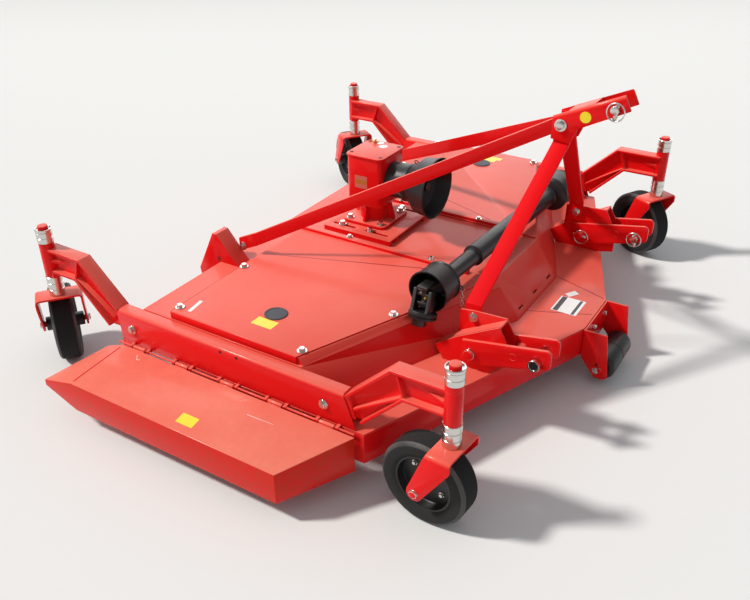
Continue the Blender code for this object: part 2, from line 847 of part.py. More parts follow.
def arm_tongue(end):
    """The tongue that fits up inside the rail, its top edges cut back for the rail's bends."""
    half = RAIL_WIDTH / 2 - RAIL_SHEET - SEAT
    top = RAIL_TOP - RAIL_SHEET - SEAT
    rear = ARM_FOOT_X - TONGUE_LENGTH
    side = [(rail_end(end, top) + 2 * ARM_RIB_THICKNESS, top), (rear, top), (rear, TONGUE_BOTTOM)]
    side.append((rail_end(end, TONGUE_BOTTOM) + ARM_RIB_THICKNESS, TONGUE_BOTTOM))
    tongue = prism(side, "y", ARM_Y - half, ARM_Y + half)
    for across in (-half, half):
        edge = (ARM_Y + across, top)
        inward = RAIL_BEND - RAIL_SHEET + SEAT
        corner = [(edge[0] + across, edge[1] + inward), (edge[0] + across, edge[1] - inward)]
        corner += [(edge[0], edge[1] - inward), (edge[0] - inward * across / half, edge[1])]
        corner.append((edge[0] - inward * across / half, edge[1] + inward))
        cut(tongue, prism(corner, "x", rear - OVERSHOOT, KINGPIN_X))
    return tongue


def make_arm(machine, name, end, side):
    """A cast arm of I section, fixed in the rail's end, with the kingpin's tube at its tip."""
    shift = 0.0 if end == FRONT else ARM_SHIFT_REAR
    centre = (KINGPIN_X, KINGPIN_Y, 0.0)
    tube = rod(TUBE_RADIUS, "z", TUBE_BOTTOM, TUBE_TOP, centre)
    upper = arm_line(0.0, shift)
    lower = arm_line(ARM_DEPTH, shift)
    outline = upper + lower[::-1] + [(rail_end(end, TONGUE_BOTTOM), TONGUE_BOTTOM)]
    web = prism(outline, "y", ARM_Y - ARM_WEB / 2, ARM_Y + ARM_WEB / 2)
    half = ARM_FLANGE_THICKNESS / 2
    flanges = []
    for line, inward in ((upper, -half), (lower, half)):
        stations = [(x, ARM_Y, z + inward) for x, z in line]
        flanges.append(bar(stations, "y", ARM_FLANGE, ARM_FLANGE_THICKNESS))
    arm = fuse(tube, web, *flanges, *arm_ribs(upper, lower), arm_gusset())
    low, high = TONGUE_BOTTOM - ARM_FLANGE, ARM_FOOT_TOP + ARM_FLANGE
    behind = [(rail_end(end, low) + MM, low), (rail_end(end, high) + MM, high)]
    behind += [(0.0, high), (0.0, low)]
    cut(arm, prism(behind, "y", ARM_Y - ARM_FLANGE, ARM_Y + ARM_FLANGE))
    fuse(arm, arm_tongue(end))
    cut(arm, rod(PIN_RADIUS + PIN_CLEARANCE, "z", TUBE_BOTTOM - OVERSHOOT, TUBE_TOP + OVERSHOOT, centre))
    if end == REAR:
        arm.data.transform(Matrix.Diagonal((-1.0, 1.0, 1.0, 1.0)))
        arm.data.flip_normals()
    return finish_piece(to_side(arm, side), f"arm_{name}", "red_paint", machine)


def make_fork(name, caster):
    """A strip folded to a U, its cheeks tapering to rounded feet, and the axle between them."""
    low = WHEEL_RADIUS - FORK_FOOT_RADIUS - OVERSHOOT
    high = FORK_TOP + OVERSHOOT
    section = channel(FORK_HALF_WIDTH, low, FORK_TOP, FORK_PLATE, FORK_BEND)
    strip = prism(section, "x", -TRAIL - FORK_FOOT_RADIUS - OVERSHOOT, FORK_FRONT + OVERSHOOT)
    cheek = [(FORK_REAR, high), (FORK_REAR, FORK_TOP - FORK_STRAIGHT)]
    cheek += arc((-TRAIL, WHEEL_RADIUS), FORK_FOOT_RADIUS, 175, 340, 8)
    cheek += [(FORK_FRONT, FORK_TOP - FORK_STRAIGHT), (FORK_FRONT, high)]
    common(strip, prism(cheek, "y", -FORK_HALF_WIDTH - OVERSHOOT, FORK_HALF_WIDTH + OVERSHOOT))
    reach = FORK_HALF_WIDTH + AXLE_END
    fuse(strip, rod(AXLE_RADIUS, "y", -reach, reach, (-TRAIL, 0.0, WHEEL_RADIUS)))
    return finish_piece(strip, f"fork_{name}", "red_paint", caster)


def make_kingpin(name, caster):
    """The pin with its spacer rings below and above the arm's tube, and the cap on top."""
    below, above = TUBE_BOTTOM - SEAT, TUBE_TOP + SEAT
    shoulder = CAP_TOP - CAP_HEIGHT
    profile = [(0.0, FORK_TOP + SEAT), (RING_RADIUS, FORK_TOP + SEAT), (RING_RADIUS, below)]
    profile += [(PIN_RADIUS, below), (PIN_RADIUS, above), (RING_RADIUS, above), (RING_RADIUS, shoulder)]
    profile += [(CAP_RADIUS, shoulder), (CAP_RADIUS, CAP_TOP), (0.0, CAP_TOP)]
    return finish_piece(turned(profile, PIN_STEPS), f"kingpin_{name}", "zinc_steel", caster, True)


def make_wheel(name, caster):
    wheel = carrier(f"wheel_{name}_axis", caster, (-TRAIL, 0.0, WHEEL_RADIUS))
    half = TYRE_WIDTH / 2
    seat = RIM_RADIUS + SEAT
    crown = TYRE_SHOULDER * 0.6
    side = [(seat, half - crown), (WHEEL_RADIUS - TYRE_WALL_HEIGHT, half)]
    side += [(WHEEL_RADIUS - crown, half - crown * 0.6), (WHEEL_RADIUS, half - TYRE_SHOULDER)]
    tyre = [(radius, -along) for radius, along in side] + side[::-1]
    finish_piece(turned(tyre, WHEEL_STEPS, "y", closed=True), f"tyre_{name}", "tyre_rubber", wheel, True)
    bore = AXLE_RADIUS + AXLE_CLEARANCE
    barrel = RIM_RADIUS - RIM_WALL
    web, edge, hub = WEB_THICKNESS / 2, RIM_WIDTH / 2, HUB_LENGTH / 2
    side = [(bore, hub), (HUB_RADIUS, hub), (HUB_RADIUS, web), (barrel, web), (barrel, edge)]
    side.append((RIM_RADIUS, edge))
    rim = [(radius, -along) for radius, along in side] + side[::-1]
    finish_piece(turned(rim, WHEEL_STEPS, "y", closed=True), f"rim_{name}", "black_plastic", wheel, True)


def make_casters(machine):
    for name, end, side, heading in CASTERS:
        make_arm(machine, name, end, side)
        place = (end * KINGPIN_X, side * KINGPIN_Y, 0.0)
        caster = carrier(f"caster_{name}_axis", machine, place, radians(heading))
        make_fork(name, caster)
        make_kingpin(name, caster)
        make_wheel(name, caster)


# Deflector


def chute_sheet():
    """The deflector's sheet: a sloping top, a raked front, an outer side and a rear flange."""
    inner, outer = -CHUTE_INNER_Y, -CHUTE_OUTER_Y
    tip = CHUTE_REAR_OUTER - FLANGE_RUN_OUTER
    tip_top = CHUTE_OUTER_Z - FLANGE_DROP_OUTER
    points = [
        (CHUTE_REAR_INNER, inner, CHUTE_INNER_Z),
        (CHUTE_FRONT_INNER, inner, CHUTE_INNER_Z),
        (CHUTE_FRONT_OUTER, outer, CHUTE_OUTER_Z),
        (CHUTE_REAR_OUTER, outer, CHUTE_OUTER_Z),
        (CHUTE_FRONT_INNER, inner, CHUTE_BOTTOM_INNER),
        (CHUTE_FRONT_OUTER, outer, CHUTE_BOTTOM),
        (CHUTE_REAR_OUTER, outer, CHUTE_BOTTOM),
        (tip, outer, tip_top - FLANGE_TIP_HEIGHT),
        (tip, outer, tip_top),
        (CHUTE_REAR_INNER - FLANGE_RUN_INNER, inner, CHUTE_INNER_Z - FLANGE_DROP_INNER),
    ]
    top, front, side = (0, 3, 2, 1), (1, 2, 5, 4), (2, 3, 6, 5)
    flange_side, flange = (3, 8, 7, 6), (0, 9, 8, 3)
    return sheet_from(points, [top, front, side, flange_side, flange], CHUTE_SHEET, CHUTE_BEND)


def make_chute(machine):
    """The hinged side deflector and its hinge, whose knuckles alternate with the rail's lugs."""
    hinge = carrier("chute_axis", machine, (0.0, -HINGE_Y, HINGE_Z))
    centre = (0.0, -HINGE_Y, HINGE_Z)
    lug_root = -DECK_HALF - SEAT
    lug_tip = -HINGE_Y - LUG_REACH
    lug = [(lug_root, HINGE_Z - KNUCKLE_RADIUS), (lug_tip, HINGE_Z - LUG_REACH)]
    lug += [(lug_tip, HINGE_Z + LUG_REACH), (lug_root, HINGE_Z + KNUCKLE_RADIUS)]
    span = (HINGE_FRONT - HINGE_REAR) / KNUCKLES
    knuckles = []
    lugs = []
    for k in range(KNUCKLES):
        low = HINGE_REAR + span * (k + 0.5) - KNUCKLE_LENGTH / 2
        high = low + KNUCKLE_LENGTH
        knuckles.append(rod(KNUCKLE_RADIUS, "x", low, high, centre, SMALL_STEPS))
        strap_low = (low, -CHUTE_INNER_Y - STRAP_LAP, HINGE_Z - STRAP_BOTTOM)
        knuckles.append(block(strap_low, (high, -HINGE_Y - STRAP_INNER, HINGE_Z - STRAP_TOP)))
        for x in (low - LUG_GAP - LUG_THICKNESS, high + LUG_GAP):
            lugs.append(prism(lug, "x", x, x + LUG_THICKNESS))
    bore = rod(
        HINGE_ROD + HINGE_CLEARANCE, "x", HINGE_REAR - OVERSHOOT, HINGE_FRONT + OVERSHOOT, centre, SMALL_STEPS
    )
    chute = cut(fuse(chute_sheet(), *knuckles), bore)
    chute.data.transform(Matrix.Translation((0.0, HINGE_Y, -HINGE_Z)))
    finish_piece(chute, "chute", "red_paint", hinge)
    pin = rod(HINGE_ROD, "x", HINGE_REAR, HINGE_FRONT, centre, SMALL_STEPS)
    finish_piece(fuse(pin, *lugs), "chute_hinge_rod", "red_paint", machine)


# Hitch


def make_rear_brackets(machine):
    """Two folded brackets at the back of the belt box, which hold the braces' ends."""
    low, high = REAR_BRACKET_Y, REAR_BRACKET_Y + REAR_BRACKET_WIDTH
    rest = BOX_SHOULDER + SEAT
    outline = [*REAR_BRACKET_SIDE, (REAR_BRACKET_TOE, rest)]
    outline += [(BOX_REAR_TOP - 2 * REAR_BRACKET_SHEET, rest), REAR_BRACKET_HEEL]
    for name, side in (("right", RIGHT), ("left", LEFT)):
        bracket = prism(outline, "y", low, high)
        inside = (low + REAR_BRACKET_SHEET, high - REAR_BRACKET_SHEET)
        cut(bracket, prism(REAR_BRACKET_HOLLOW, "y", *inside))
        finish_piece(to_side(bracket, side), f"brace_bracket_{name}", "red_paint", machine)


def make_top_head(machine):
    """The top link's head: a folded channel, open in front around the pin, with sloping cheeks."""
    depth = HEAD_NOSE_TOP - HEAD_BOLT_Z + OVERSHOOT
    fold = prism(channel(HEAD_HALF, -depth, 0.0, HEAD_SHEET, HEAD_BEND), "x", -depth * 2, depth)
    slope = Matrix.Rotation(-radians(HEAD_PITCH), 4, "Y")
    fold.data.transform(Matrix.Translation((HEAD_NOSE_X, 0.0, HEAD_NOSE_TOP)) @ slope)
    above = HEAD_NOSE_TOP + OVERSHOOT
    cheek = [(HEAD_BOLT_X + HEAD_CHEEK_REAR[0][0], above)]
    cheek += [(HEAD_BOLT_X + ahead, HEAD_BOLT_Z + up) for ahead, up in HEAD_CHEEK_REAR]
    cheek.append((HEAD_NOSE_X + HEAD_CHEEK_FRONT[0], HEAD_NOSE_TOP + HEAD_CHEEK_FRONT[1]))
    cheek += [(HEAD_NOSE_X, HEAD_NOSE_TOP), (HEAD_NOSE_X, above)]
    common(fold, prism(cheek, "y", -HEAD_HALF - OVERSHOOT, HEAD_HALF + OVERSHOOT))
    inner = HEAD_HALF - HEAD_SHEET
    mouth = block((HEAD_WEB_FRONT, -inner, HEAD_BOLT_Z), (HEAD_NOSE_X + depth, inner, above))
    back = block((HEAD_BOLT_X - depth, -inner, HEAD_BOLT_Z), (HEAD_WEB_REAR, inner, above))
    hole = rod(TOP_PIN_RADIUS + PIN_HOLE_CLEARANCE, "y", -depth, depth, (TOP_PIN_X, 0.0, TOP_PIN_Z))
    cut(fold, mouth, back, hole)
    finish_piece(fold, "top_hitch_head", "red_paint", machine)
    place = (TOP_PIN_X, 0.0, TOP_PIN_Z)
    pin = rod(TOP_PIN_RADIUS, "y", -TOP_PIN_HALF, TOP_PIN_HALF, place)
    collar_radius = TOP_PIN_RADIUS + TOP_PIN_COLLAR_REACH
    collar = rod(collar_radius, "y", TOP_PIN_HALF - TOP_PIN_COLLAR, TOP_PIN_HALF, place)
    finish_piece(fuse(pin, collar), "top_pin", "zinc_steel", machine, True)


def make_hitch_frame(machine):
    """Two raked legs and two braces, whose ends lie side by side within the head's cheeks."""
    leg_y = HEAD_HALF - HEAD_SHEET - SEAT - LEG_THICKNESS / 2
    leg_foot_y = CLEVIS_INNER + CLEVIS_PLATE / 2 - LEG_THICKNESS / 2
    brace_y = leg_y - LEG_THICKNESS / 2 - SEAT - BRACE_THICKNESS / 2
    brace_foot_y = REAR_BRACKET_Y - SEAT - BRACE_THICKNESS / 2
    for name, side in (("right", RIGHT), ("left", LEFT)):
        stations = [
            (HEAD_BOLT_X + LEG_AHEAD, leg_y, HEAD_BOLT_Z + LEG_TOP_RISE),
            (HEAD_BOLT_X + LEG_AHEAD, leg_y, HEAD_BOLT_Z - LEG_BEND_DROP),
            (LEG_FOOT_X, leg_foot_y, LEG_FOOT_BEND_Z),
            (LEG_FOOT_X, leg_foot_y, LEG_FOOT_BOTTOM),
        ]
        leg = bar(stations, "x", LEG_WIDTH, LEG_THICKNESS)
        finish_piece(to_side(leg, side), f"a_frame_leg_{name}", "red_paint", machine)
        stations = [
            (HEAD_BOLT_X + BRACE_TIP, brace_y, HEAD_BOLT_Z + BRACE_TIP * BRACE_SLOPE),
            (HEAD_BOLT_X - BRACE_BEND, brace_y, HEAD_BOLT_Z - BRACE_BEND * BRACE_SLOPE),
            (BRACE_FOOT_X + BRACE_FOOT_RUN, brace_foot_y, BRACE_FOOT_Z + BRACE_FOOT_RUN * BRACE_SLOPE),
            (BRACE_FOOT_X - BRACE_FOOT_END, brace_foot_y, BRACE_FOOT_Z - BRACE_FOOT_END * BRACE_SLOPE),
        ]
        brace = bar(stations, "z", BRACE_HEIGHT, BRACE_THICKNESS)
        finish_piece(to_side(brace, side), f"brace_{name}", "red_paint", machine)


def hitch_bracket():
    """A tall inner plate for the leg, a sloping web and a lower outer plate, folded from one sheet."""
    low = DECK_TOP + SEAT
    inner = CLEVIS_INNER + CLEVIS_PLATE / 2 + BRACKET_CLEARANCE
    outer = CLEVIS_OUTER - CLEVIS_PLATE / 2 - BRACKET_CLEARANCE
    tall = [(BRACKET_REAR, low), *BRACKET_TALL, (BRACKET_TALL_TOE, low)]
    short = [(BRACKET_REAR, low), *BRACKET_SHORT, (BRACKET_SHORT_TOE, low)]
    plate = prism(tall, "y", inner, inner + BRACKET_SHEET)
    other = prism(short, "y", outer - BRACKET_SHEET, outer)
    half = BRACKET_SHEET / 2
    line = [(x + half, (inner + outer) / 2, z - half) for x, z in BRACKET_SHORT[:3]]
    web = bar(line, "y", outer - inner - MM, BRACKET_SHEET)
    return fuse(plate, other, web)


def make_hitch_brackets(machine):
    """Brackets on the deck that carry the legs, and the lower link clevises that straddle them."""
    nose = CLEVIS_NOSE_RADIUS
    plate = arc((CLEVIS_FRONT - nose, CLEVIS_NOSE_TOP), nose, 78, 0, 3)
    plate += arc((CLEVIS_FRONT - nose, CLEVIS_NOSE_BOTTOM), nose, 0, -78, 3)
    plate += CLEVIS_SIDE
    half = CLEVIS_PLATE / 2
    outer_face = CLEVIS_OUTER + half
    for name, side in (("right", RIGHT), ("left", LEFT)):
        bracket = hitch_bracket()
        place = (HEEL_PIN_X, 0.0, HEEL_PIN_Z)
        heel_hole = rod(HEEL_PIN_RADIUS + SEAT, "y", CLEVIS_INNER, CLEVIS_OUTER, place)
        cut(bracket, heel_hole)
        clevis = prism(plate, "y", CLEVIS_INNER - half, CLEVIS_INNER + half)
        other = prism(plate, "y", CLEVIS_OUTER - half, outer_face)
        cross = rod(CROSS_TUBE_RADIUS, "y", CLEVIS_INNER, CLEVIS_OUTER, (CROSS_TUBE_X, 0.0, CROSS_TUBE_Z))
        heel = rod(HEEL_PIN_RADIUS, "y", LOWER_PIN_INNER, HEEL_PIN_OUTER, place)
        fuse(clevis, other, cross, heel)
        place = (LOWER_PIN_X, 0.0, LOWER_PIN_Z)
        hole = LOWER_PIN_RADIUS + PIN_HOLE_CLEARANCE
        cut(clevis, rod(hole, "y", LOWER_PIN_INNER - OVERSHOOT, LOWER_PIN_OUTER + OVERSHOOT, place))
        pin = rod(LOWER_PIN_RADIUS, "y", LOWER_PIN_INNER, LOWER_PIN_OUTER, place)
        fuse(pin, rod(LOWER_PIN_COLLAR, "y", outer_face + SEAT, LOWER_PIN_OUTER - MM, place))
        finish_piece(to_side(bracket, side), f"hitch_bracket_{name}", "red_paint", machine)
        finish_piece(to_side(clevis, side), f"lower_clevis_{name}", "red_paint", machine)
        finish_piece(to_side(pin, side), f"lower_pin_{name}", "zinc_steel", machine, True)


# Gearbox


def make_gearbox_mount(machine):
    """A plate on two rails, with two long slots over each rail for its bolts."""
    plate_low = MOUNT_TOP - MOUNT_PLATE
    rest = PLATEAU_TOP + SEAT
    mount = block((MOUNT_REAR, -MOUNT_HALF_Y, plate_low), (MOUNT_FRONT, MOUNT_HALF_Y, MOUNT_TOP))
    for side in (RIGHT, LEFT):
        for y in (MOUNT_HALF_Y - MOUNT_RAIL, MOUNT_SLOT_Y - MOUNT_SLOT_WIDTH / 2 - MOUNT_RAIL):
            edges = sorted((side * y, side * (y + MOUNT_RAIL)))
            fuse(mount, block((MOUNT_REAR, edges[0], rest), (MOUNT_FRONT, edges[1], plate_low + MM)))
    low, high = rest - OVERSHOOT, MOUNT_TOP + OVERSHOOT
    half = MOUNT_SLOT_WIDTH / 2
    for side in (RIGHT, LEFT):
        for rear, front in MOUNT_SLOTS:
            middle = side * MOUNT_SLOT_Y
            slot = arc((front - half, middle), half, -90, 90, 4)
            slot += arc((rear + half, middle), half, 90, 270, 4)
            cut(mount, prism(slot, "z", low, high))
    window = prism(rounded(MOUNT_WINDOW, MOUNT_WINDOW, GEARBOX_CORNER, GEARBOX_X), "z", low, high)
    finish_piece(cut(mount, window), "gearbox_mount", "red_paint", machine)


def neck_rib(dx, dy, low):
    """A rib from the gearbox's neck down to its foot, towards (dx, dy)."""
    top = GEARBOX_BOTTOM + 0.010
    root = NECK_RADIUS * 0.85
    outline = [(root, low), (NECK_RIB_REACH, low), (NECK_RIB_REACH, low + NECK_RIB_TOE)]
    outline += [(NECK_RADIUS + NECK_RIB_THICKNESS, top), (root, top)]
    half = NECK_RIB_THICKNESS / 2
    rib = prism(outline, "y", -half, half)
    rib.data.transform(Matrix(((dx, -dy, 0, GEARBOX_X), (dy, dx, 0, 0), (0, 0, 1, 0), (0, 0, 0, 1))))
    return rib


def make_gearbox(machine):
    foot_low = MOUNT_TOP + SEAT
    foot_top = foot_low + FOOT_HEIGHT
    lid_low = GEARBOX_TOP - LID_HEIGHT
    foot = prism(rounded(FOOT_HALF_X, FOOT_HALF_Y, GEARBOX_CORNER, GEARBOX_X), "z", foot_low, foot_top)
    neck = rod(NECK_RADIUS, "z", foot_low + MM, GEARBOX_BOTTOM + MM, (GEARBOX_X, 0.0, 0.0), DRUM_STEPS)
    sections = []
    for level, inset in (
        (GEARBOX_BOTTOM, 0.022),
        (GEARBOX_BOTTOM + 0.006, 0.008),
        (GEARBOX_BOTTOM + 0.020, 0.0),
        (lid_low - SEAT, 0.0),
    ):
        half_x = GEARBOX_HALF_X - LID_LEDGE - inset
        half_y = GEARBOX_HALF_Y - LID_LEDGE - inset
        plan = rounded(half_x, half_y, GEARBOX_CORNER - LID_LEDGE, GEARBOX_X)
        sections.append([(x, y, level) for x, y in plan])
    housing = loft(sections)
    ribs = [neck_rib(dx, dy, foot_top - MM) for dx, dy in ((1, 0), (-1, 0), (0, 1), (0, -1))]
    face = GEARBOX_X + GEARBOX_HALF_X - LID_LEDGE
    centre = (0.0, 0.0, SHAFT_Z)
    seal = rod(SEAL_RADIUS, "x", face - SEAL_LENGTH, face + SEAL_LENGTH, centre, DRUM_STEPS)
    gearbox = fuse(housing, foot, neck, *ribs, seal)
    bore = SHAFT_RADIUS + SHAFT_CLEARANCE
    cut(gearbox, rod(bore, "x", face - SHAFT_DEPTH - MM, face + SHAFT_DEPTH, centre))
    finish_piece(gearbox, "gearbox", "red_paint", machine)
    lid = prism(rounded(GEARBOX_HALF_X, GEARBOX_HALF_Y, GEARBOX_CORNER, GEARBOX_X), "z", lid_low, GEARBOX_TOP)
    finish_piece(lid, "gearbox_lid", "red_paint", machine)
    axis = carrier("input_axis", machine, centre)
    shaft = rod(SHAFT_RADIUS, "x", face - SHAFT_DEPTH, SHAFT_FRONT)
    finish_piece(shaft, "input_shaft", "bare_steel", axis, True)


def make_input_guard(machine):
    """The shaft's guard: a sleeve with a clamp band, flaring to a drum with a lip."""
    start = GEARBOX_X + GEARBOX_HALF_X - LID_LEDGE + SEAT
    seat = SEAL_RADIUS + SEAT
    sleeve = GUARD_SLEEVE_RADIUS
    band_x = start + GUARD_SLEEVE_LENGTH
    band_end = band_x + GUARD_BAND_LENGTH
    lip_x = GUARD_RIM_X - GUARD_WALL
    rim_inner = GUARD_RIM_RADIUS - 2 * GUARD_WALL
    profile = [(seat, start), (sleeve, start), (sleeve, band_x), (sleeve + GUARD_BAND, band_x)]
    profile += [(sleeve + GUARD_BAND, band_end), (GUARD_DRUM_RADIUS, GUARD_DRUM_REAR)]
    profile += [(rim_inner + GUARD_WALL, lip_x), (GUARD_RIM_RADIUS, lip_x), (GUARD_RIM_RADIUS, GUARD_RIM_X)]
    profile += [(rim_inner, GUARD_RIM_X), (GUARD_DRUM_RADIUS - GUARD_WALL, GUARD_DRUM_REAR + GUARD_WALL)]
    profile += [(sleeve - GUARD_WALL, band_end), (sleeve - GUARD_WALL, start + GUARD_WALL)]
    profile.append((seat, start + GUARD_WALL))
    body = turned(profile, DRUM_STEPS, "x", (0.0, 0.0, SHAFT_Z), closed=True)
    finish_piece(body, "input_guard", "black_plastic", machine, True)


# Drive shaft


def shaft_guard(length):
    """The guard: a tube in two diameters with a bell at each end."""
    cone = BELL_LENGTH + BELL_SHOULDER
    inside = BELL_RADIUS - GUARD_WALL
    step = length * TUBE_STEP
    lip = BELL_RADIUS + BELL_LIP
    near = [(lip, 0.0), (lip, 2 * BELL_LIP), (BELL_RADIUS, 2 * BELL_LIP)]
    near += [(BELL_RADIUS, BELL_LENGTH), (TUBE_SMALL, cone), (TUBE_SMALL, step), (TUBE_BIG, step + 2 * MM)]
    far = [(BELL_RADIUS, length), (BELL_RADIUS, length - BELL_LENGTH), (TUBE_BIG, length - cone)]
    end = BELL_LENGTH + TUBE_END
    near_hollow = [(0.0, end), (TUBE_BORE, end), (TUBE_BORE, BELL_LENGTH)]
    near_hollow += [(inside, BELL_LENGTH - GUARD_WALL), (inside, 0.0)]
    far_hollow = [(radius, length - along) for radius, along in near_hollow]
    return turned(near_hollow + near + far[::-1] + far_hollow[::-1], DRUM_STEPS)


def tube_yoke():
    """The yoke on the tube's end, drawn along +Z from the tube, with the joint's cross."""
    yoke = rod(YOKE_STEM, "z", SEAT, YOKE_REACH / 2)
    hub = rod(YOKE_RADIUS, "z", YOKE_REACH / 2 - YOKE_HUB, YOKE_REACH / 2)
    half = YOKE_EAR_WIDTH / 2
    ears = []
    for side in (RIGHT, LEFT):
        edges = sorted((side * YOKE_EAR_INNER, side * YOKE_EAR_OUTER))
        ears.append(block((-half, edges[0], YOKE_REACH / 2 - MM), (half, edges[1], YOKE_REACH + half)))
    middle = (0.0, 0.0, YOKE_REACH)
    cross = [rod(CROSS_RADIUS, axis, -CROSS_HALF, CROSS_HALF, middle, SMALL_STEPS) for axis in ("x", "y")]
    return fuse(yoke, hub, *ears, *cross)


def tail_yoke():
    """The loose half of the joint, drawn along +Z from the cross: ears, a collar and a splined tail."""
    half = YOKE_EAR_WIDTH / 2
    yoke = rod(YOKE_RADIUS, "z", TAIL_EAR, TAIL_EAR + TAIL_COLLAR)
    parts = [rod(TAIL_RADIUS, "z", TAIL_EAR + MM, TAIL_LENGTH)]
    for side in (RIGHT, LEFT):
        edges = sorted((side * YOKE_EAR_INNER, side * (YOKE_EAR_OUTER - MM)))
        parts.append(block((edges[0], -half, -half), (edges[1], half, TAIL_EAR + MM)))
    return fuse(yoke, *parts)


def make_drive_shaft(machine):
    """The guarded drive shaft, laid across the covers. The near joint's tail hangs down."""
    near, far = Vector(DRIVE_NEAR), Vector(DRIVE_FAR)
    run = far - near
    turn = run.to_track_quat("Z", "Y").to_matrix().to_4x4()
    place = Matrix.Translation(near) @ turn
    guard = shaft_guard(run.length)
    guard.data.transform(place)
    finish_piece(guard, "drive_shaft_guard", "black_plastic", machine, True)
    base = BELL_LENGTH + TUBE_END
    over = Matrix.Rotation(pi, 4, "Y")
    for name, start, hang in (
        ("near", Matrix.Translation((0.0, 0.0, base)) @ over, HANG_ANGLE),
        ("far", Matrix.Translation((0.0, 0.0, run.length - base)), 0.0),
    ):
        yoke = tube_yoke()
        tail = tail_yoke()
        swing = Matrix.Rotation(radians(hang), 4, "X")
        tail.data.transform(Matrix.Translation((0.0, 0.0, YOKE_REACH)) @ swing)
        fuse(yoke, tail)
        yoke.data.transform(place @ start)
        finish_piece(yoke, f"drive_shaft_yoke_{name}", "bare_steel", machine)


# Roller and blades


def make_roller(machine):
    """The bracket bolted to the lobe's front, and its roller."""
    back_x = LOBE_FRONT + SEAT
    cheek_y = ROLLER_HALF + ROLLER_GAP
    outer_y = cheek_y + ROLLER_PLATE
    bracket = block((back_x, -outer_y, BRACKET_LOW), (back_x + ROLLER_PLATE, outer_y, BRACKET_TOP))
    bottom = ROLLER_Z - ROLLER_CHEEK_DROP
    front = ROLLER_X + ROLLER_CHEEK_FRONT
    radius = ROLLER_CHEEK_RADIUS
    cheek = [(back_x, BRACKET_TOP), (back_x + BRACKET_REACH, BRACKET_TOP - ROLLER_CHEEK_FALL)]
    cheek += arc((front - radius, bottom + radius), radius, 10, -90, 3)
    cheek += [(ROLLER_X - radius, bottom), (back_x, BRACKET_LOW)]
    for side in (RIGHT, LEFT):
        edges = sorted((side * cheek_y, side * outer_y))
        fuse(bracket, prism(cheek, "y", *edges))
    reach = outer_y + ROLLER_PLATE
    fuse(bracket, rod(ROLLER_AXLE, "y", -reach, reach, (ROLLER_X, 0.0, ROLLER_Z), SMALL_STEPS))
    finish_piece(bracket, "roller_bracket", "red_paint", machine)
    axis = carrier("roller_axis", machine, (ROLLER_X, 0.0, ROLLER_Z))
    bore = ROLLER_AXLE + ROLLER_CLEARANCE
    side = [(bore, ROLLER_HALF), (ROLLER_RADIUS, ROLLER_HALF)]
    profile = [(radius, -along) for radius, along in side] + side[::-1]
    finish_piece(turned(profile, DRUM_STEPS, "y", closed=True), "roller", "black_plastic", axis, True)


def make_blade(low, high):
    """A flat bar with an upturned sail behind each cutting edge, and its boss."""
    half = BLADE_WIDTH / 2
    reach = sqrt(BLADE_RADIUS**2 - half**2)
    root = reach - BLADE_LIFT_LENGTH
    blade = prism([(-reach, -half), (reach, -half), (reach, half), (-reach, half)], "z", low, high)
    thin = BLADE_THICKNESS * 0.7
    start = [(root, half - thin, low), (root, half, low), (root, half, high), (root, half - thin, high)]
    end = [(reach, half - 2 * thin, low), (reach, half, low + BLADE_LIFT)]
    end += [(reach, half - thin, high + BLADE_LIFT), (reach, half - 3 * thin, high)]
    for turn in (0.0, pi):
        sail = loft([start, end])
        sail.data.transform(Matrix.Rotation(turn, 4, "Z"))
        fuse(blade, sail)
    return fuse(blade, rod(BOSS_RADIUS, "z", low - BOSS_DROP, SPINDLE_BOTTOM - SEAT))


def make_blades(machine):
    """Three spindle housings under the deck, each with a blade that turns below it."""
    top = DECK_TOP - SHEET - SEAT
    flange_low = top - SPINDLE_FLANGE_SHEET
    profile = [(0.0, top), (SPINDLE_FLANGE, top), (SPINDLE_FLANGE, flange_low)]
    profile += [(SPINDLE_RADIUS + SPINDLE_TAPER, flange_low - SPINDLE_TAPER / 2)]
    profile += [(SPINDLE_RADIUS, SPINDLE_BOTTOM), (0.0, SPINDLE_BOTTOM)]
    low, high = BLADE_Z - BLADE_THICKNESS / 2, BLADE_Z + BLADE_THICKNESS / 2
    for name, x, y, angle in SPINDLES:
        housing = turned(profile, PIN_STEPS, centre=(x, y, 0.0))
        finish_piece(housing, f"spindle_{name}", "red_paint", machine, True)
        axis = carrier(f"blade_{name}_axis", machine, (x, y, 0.0), radians(angle))
        finish_piece(make_blade(low, high), f"blade_{name}", "bare_steel", axis)


def settle(machine):
    """Shifts the machine so that the origin is the middle of its footprint."""
    bpy.context.view_layer.update()
    points = []
    for obj in bpy.data.objects:
        if obj.type == "MESH":
            points += [obj.matrix_world @ vertex.co for vertex in obj.data.vertices]
    lows = [min(point[k] for point in points) for k in range(3)]
    highs = [max(point[k] for point in points) for k in range(3)]
    machine.location = (-(lows[0] + highs[0]) / 2, -(lows[1] + highs[1]) / 2, -lows[2])
    bpy.context.view_layer.update()


def main():
    clear_scene()
    make_materials()
    machine = carrier("machine", None)
    make_deck(machine)
    make_belt_box(machine)
    make_covers(machine)
    make_rails(machine)
    make_casters(machine)
    make_chute(machine)
    make_rear_brackets(machine)
    make_top_head(machine)
    make_hitch_frame(machine)
    make_hitch_brackets(machine)
    make_gearbox_mount(machine)
    make_gearbox(machine)
    make_input_guard(machine)
    make_drive_shaft(machine)
    make_roller(machine)
    make_blades(machine)
    settle(machine)


main()
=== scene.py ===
"""Finishing mower: finished surfaces, fasteners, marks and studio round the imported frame.

Metres, +X forward, +Y to the machine's left, +Z up. Places are given in the machine's own axes,
from the middle of the four kingpins on the ground, and `at` turns them into the frame's.
"""

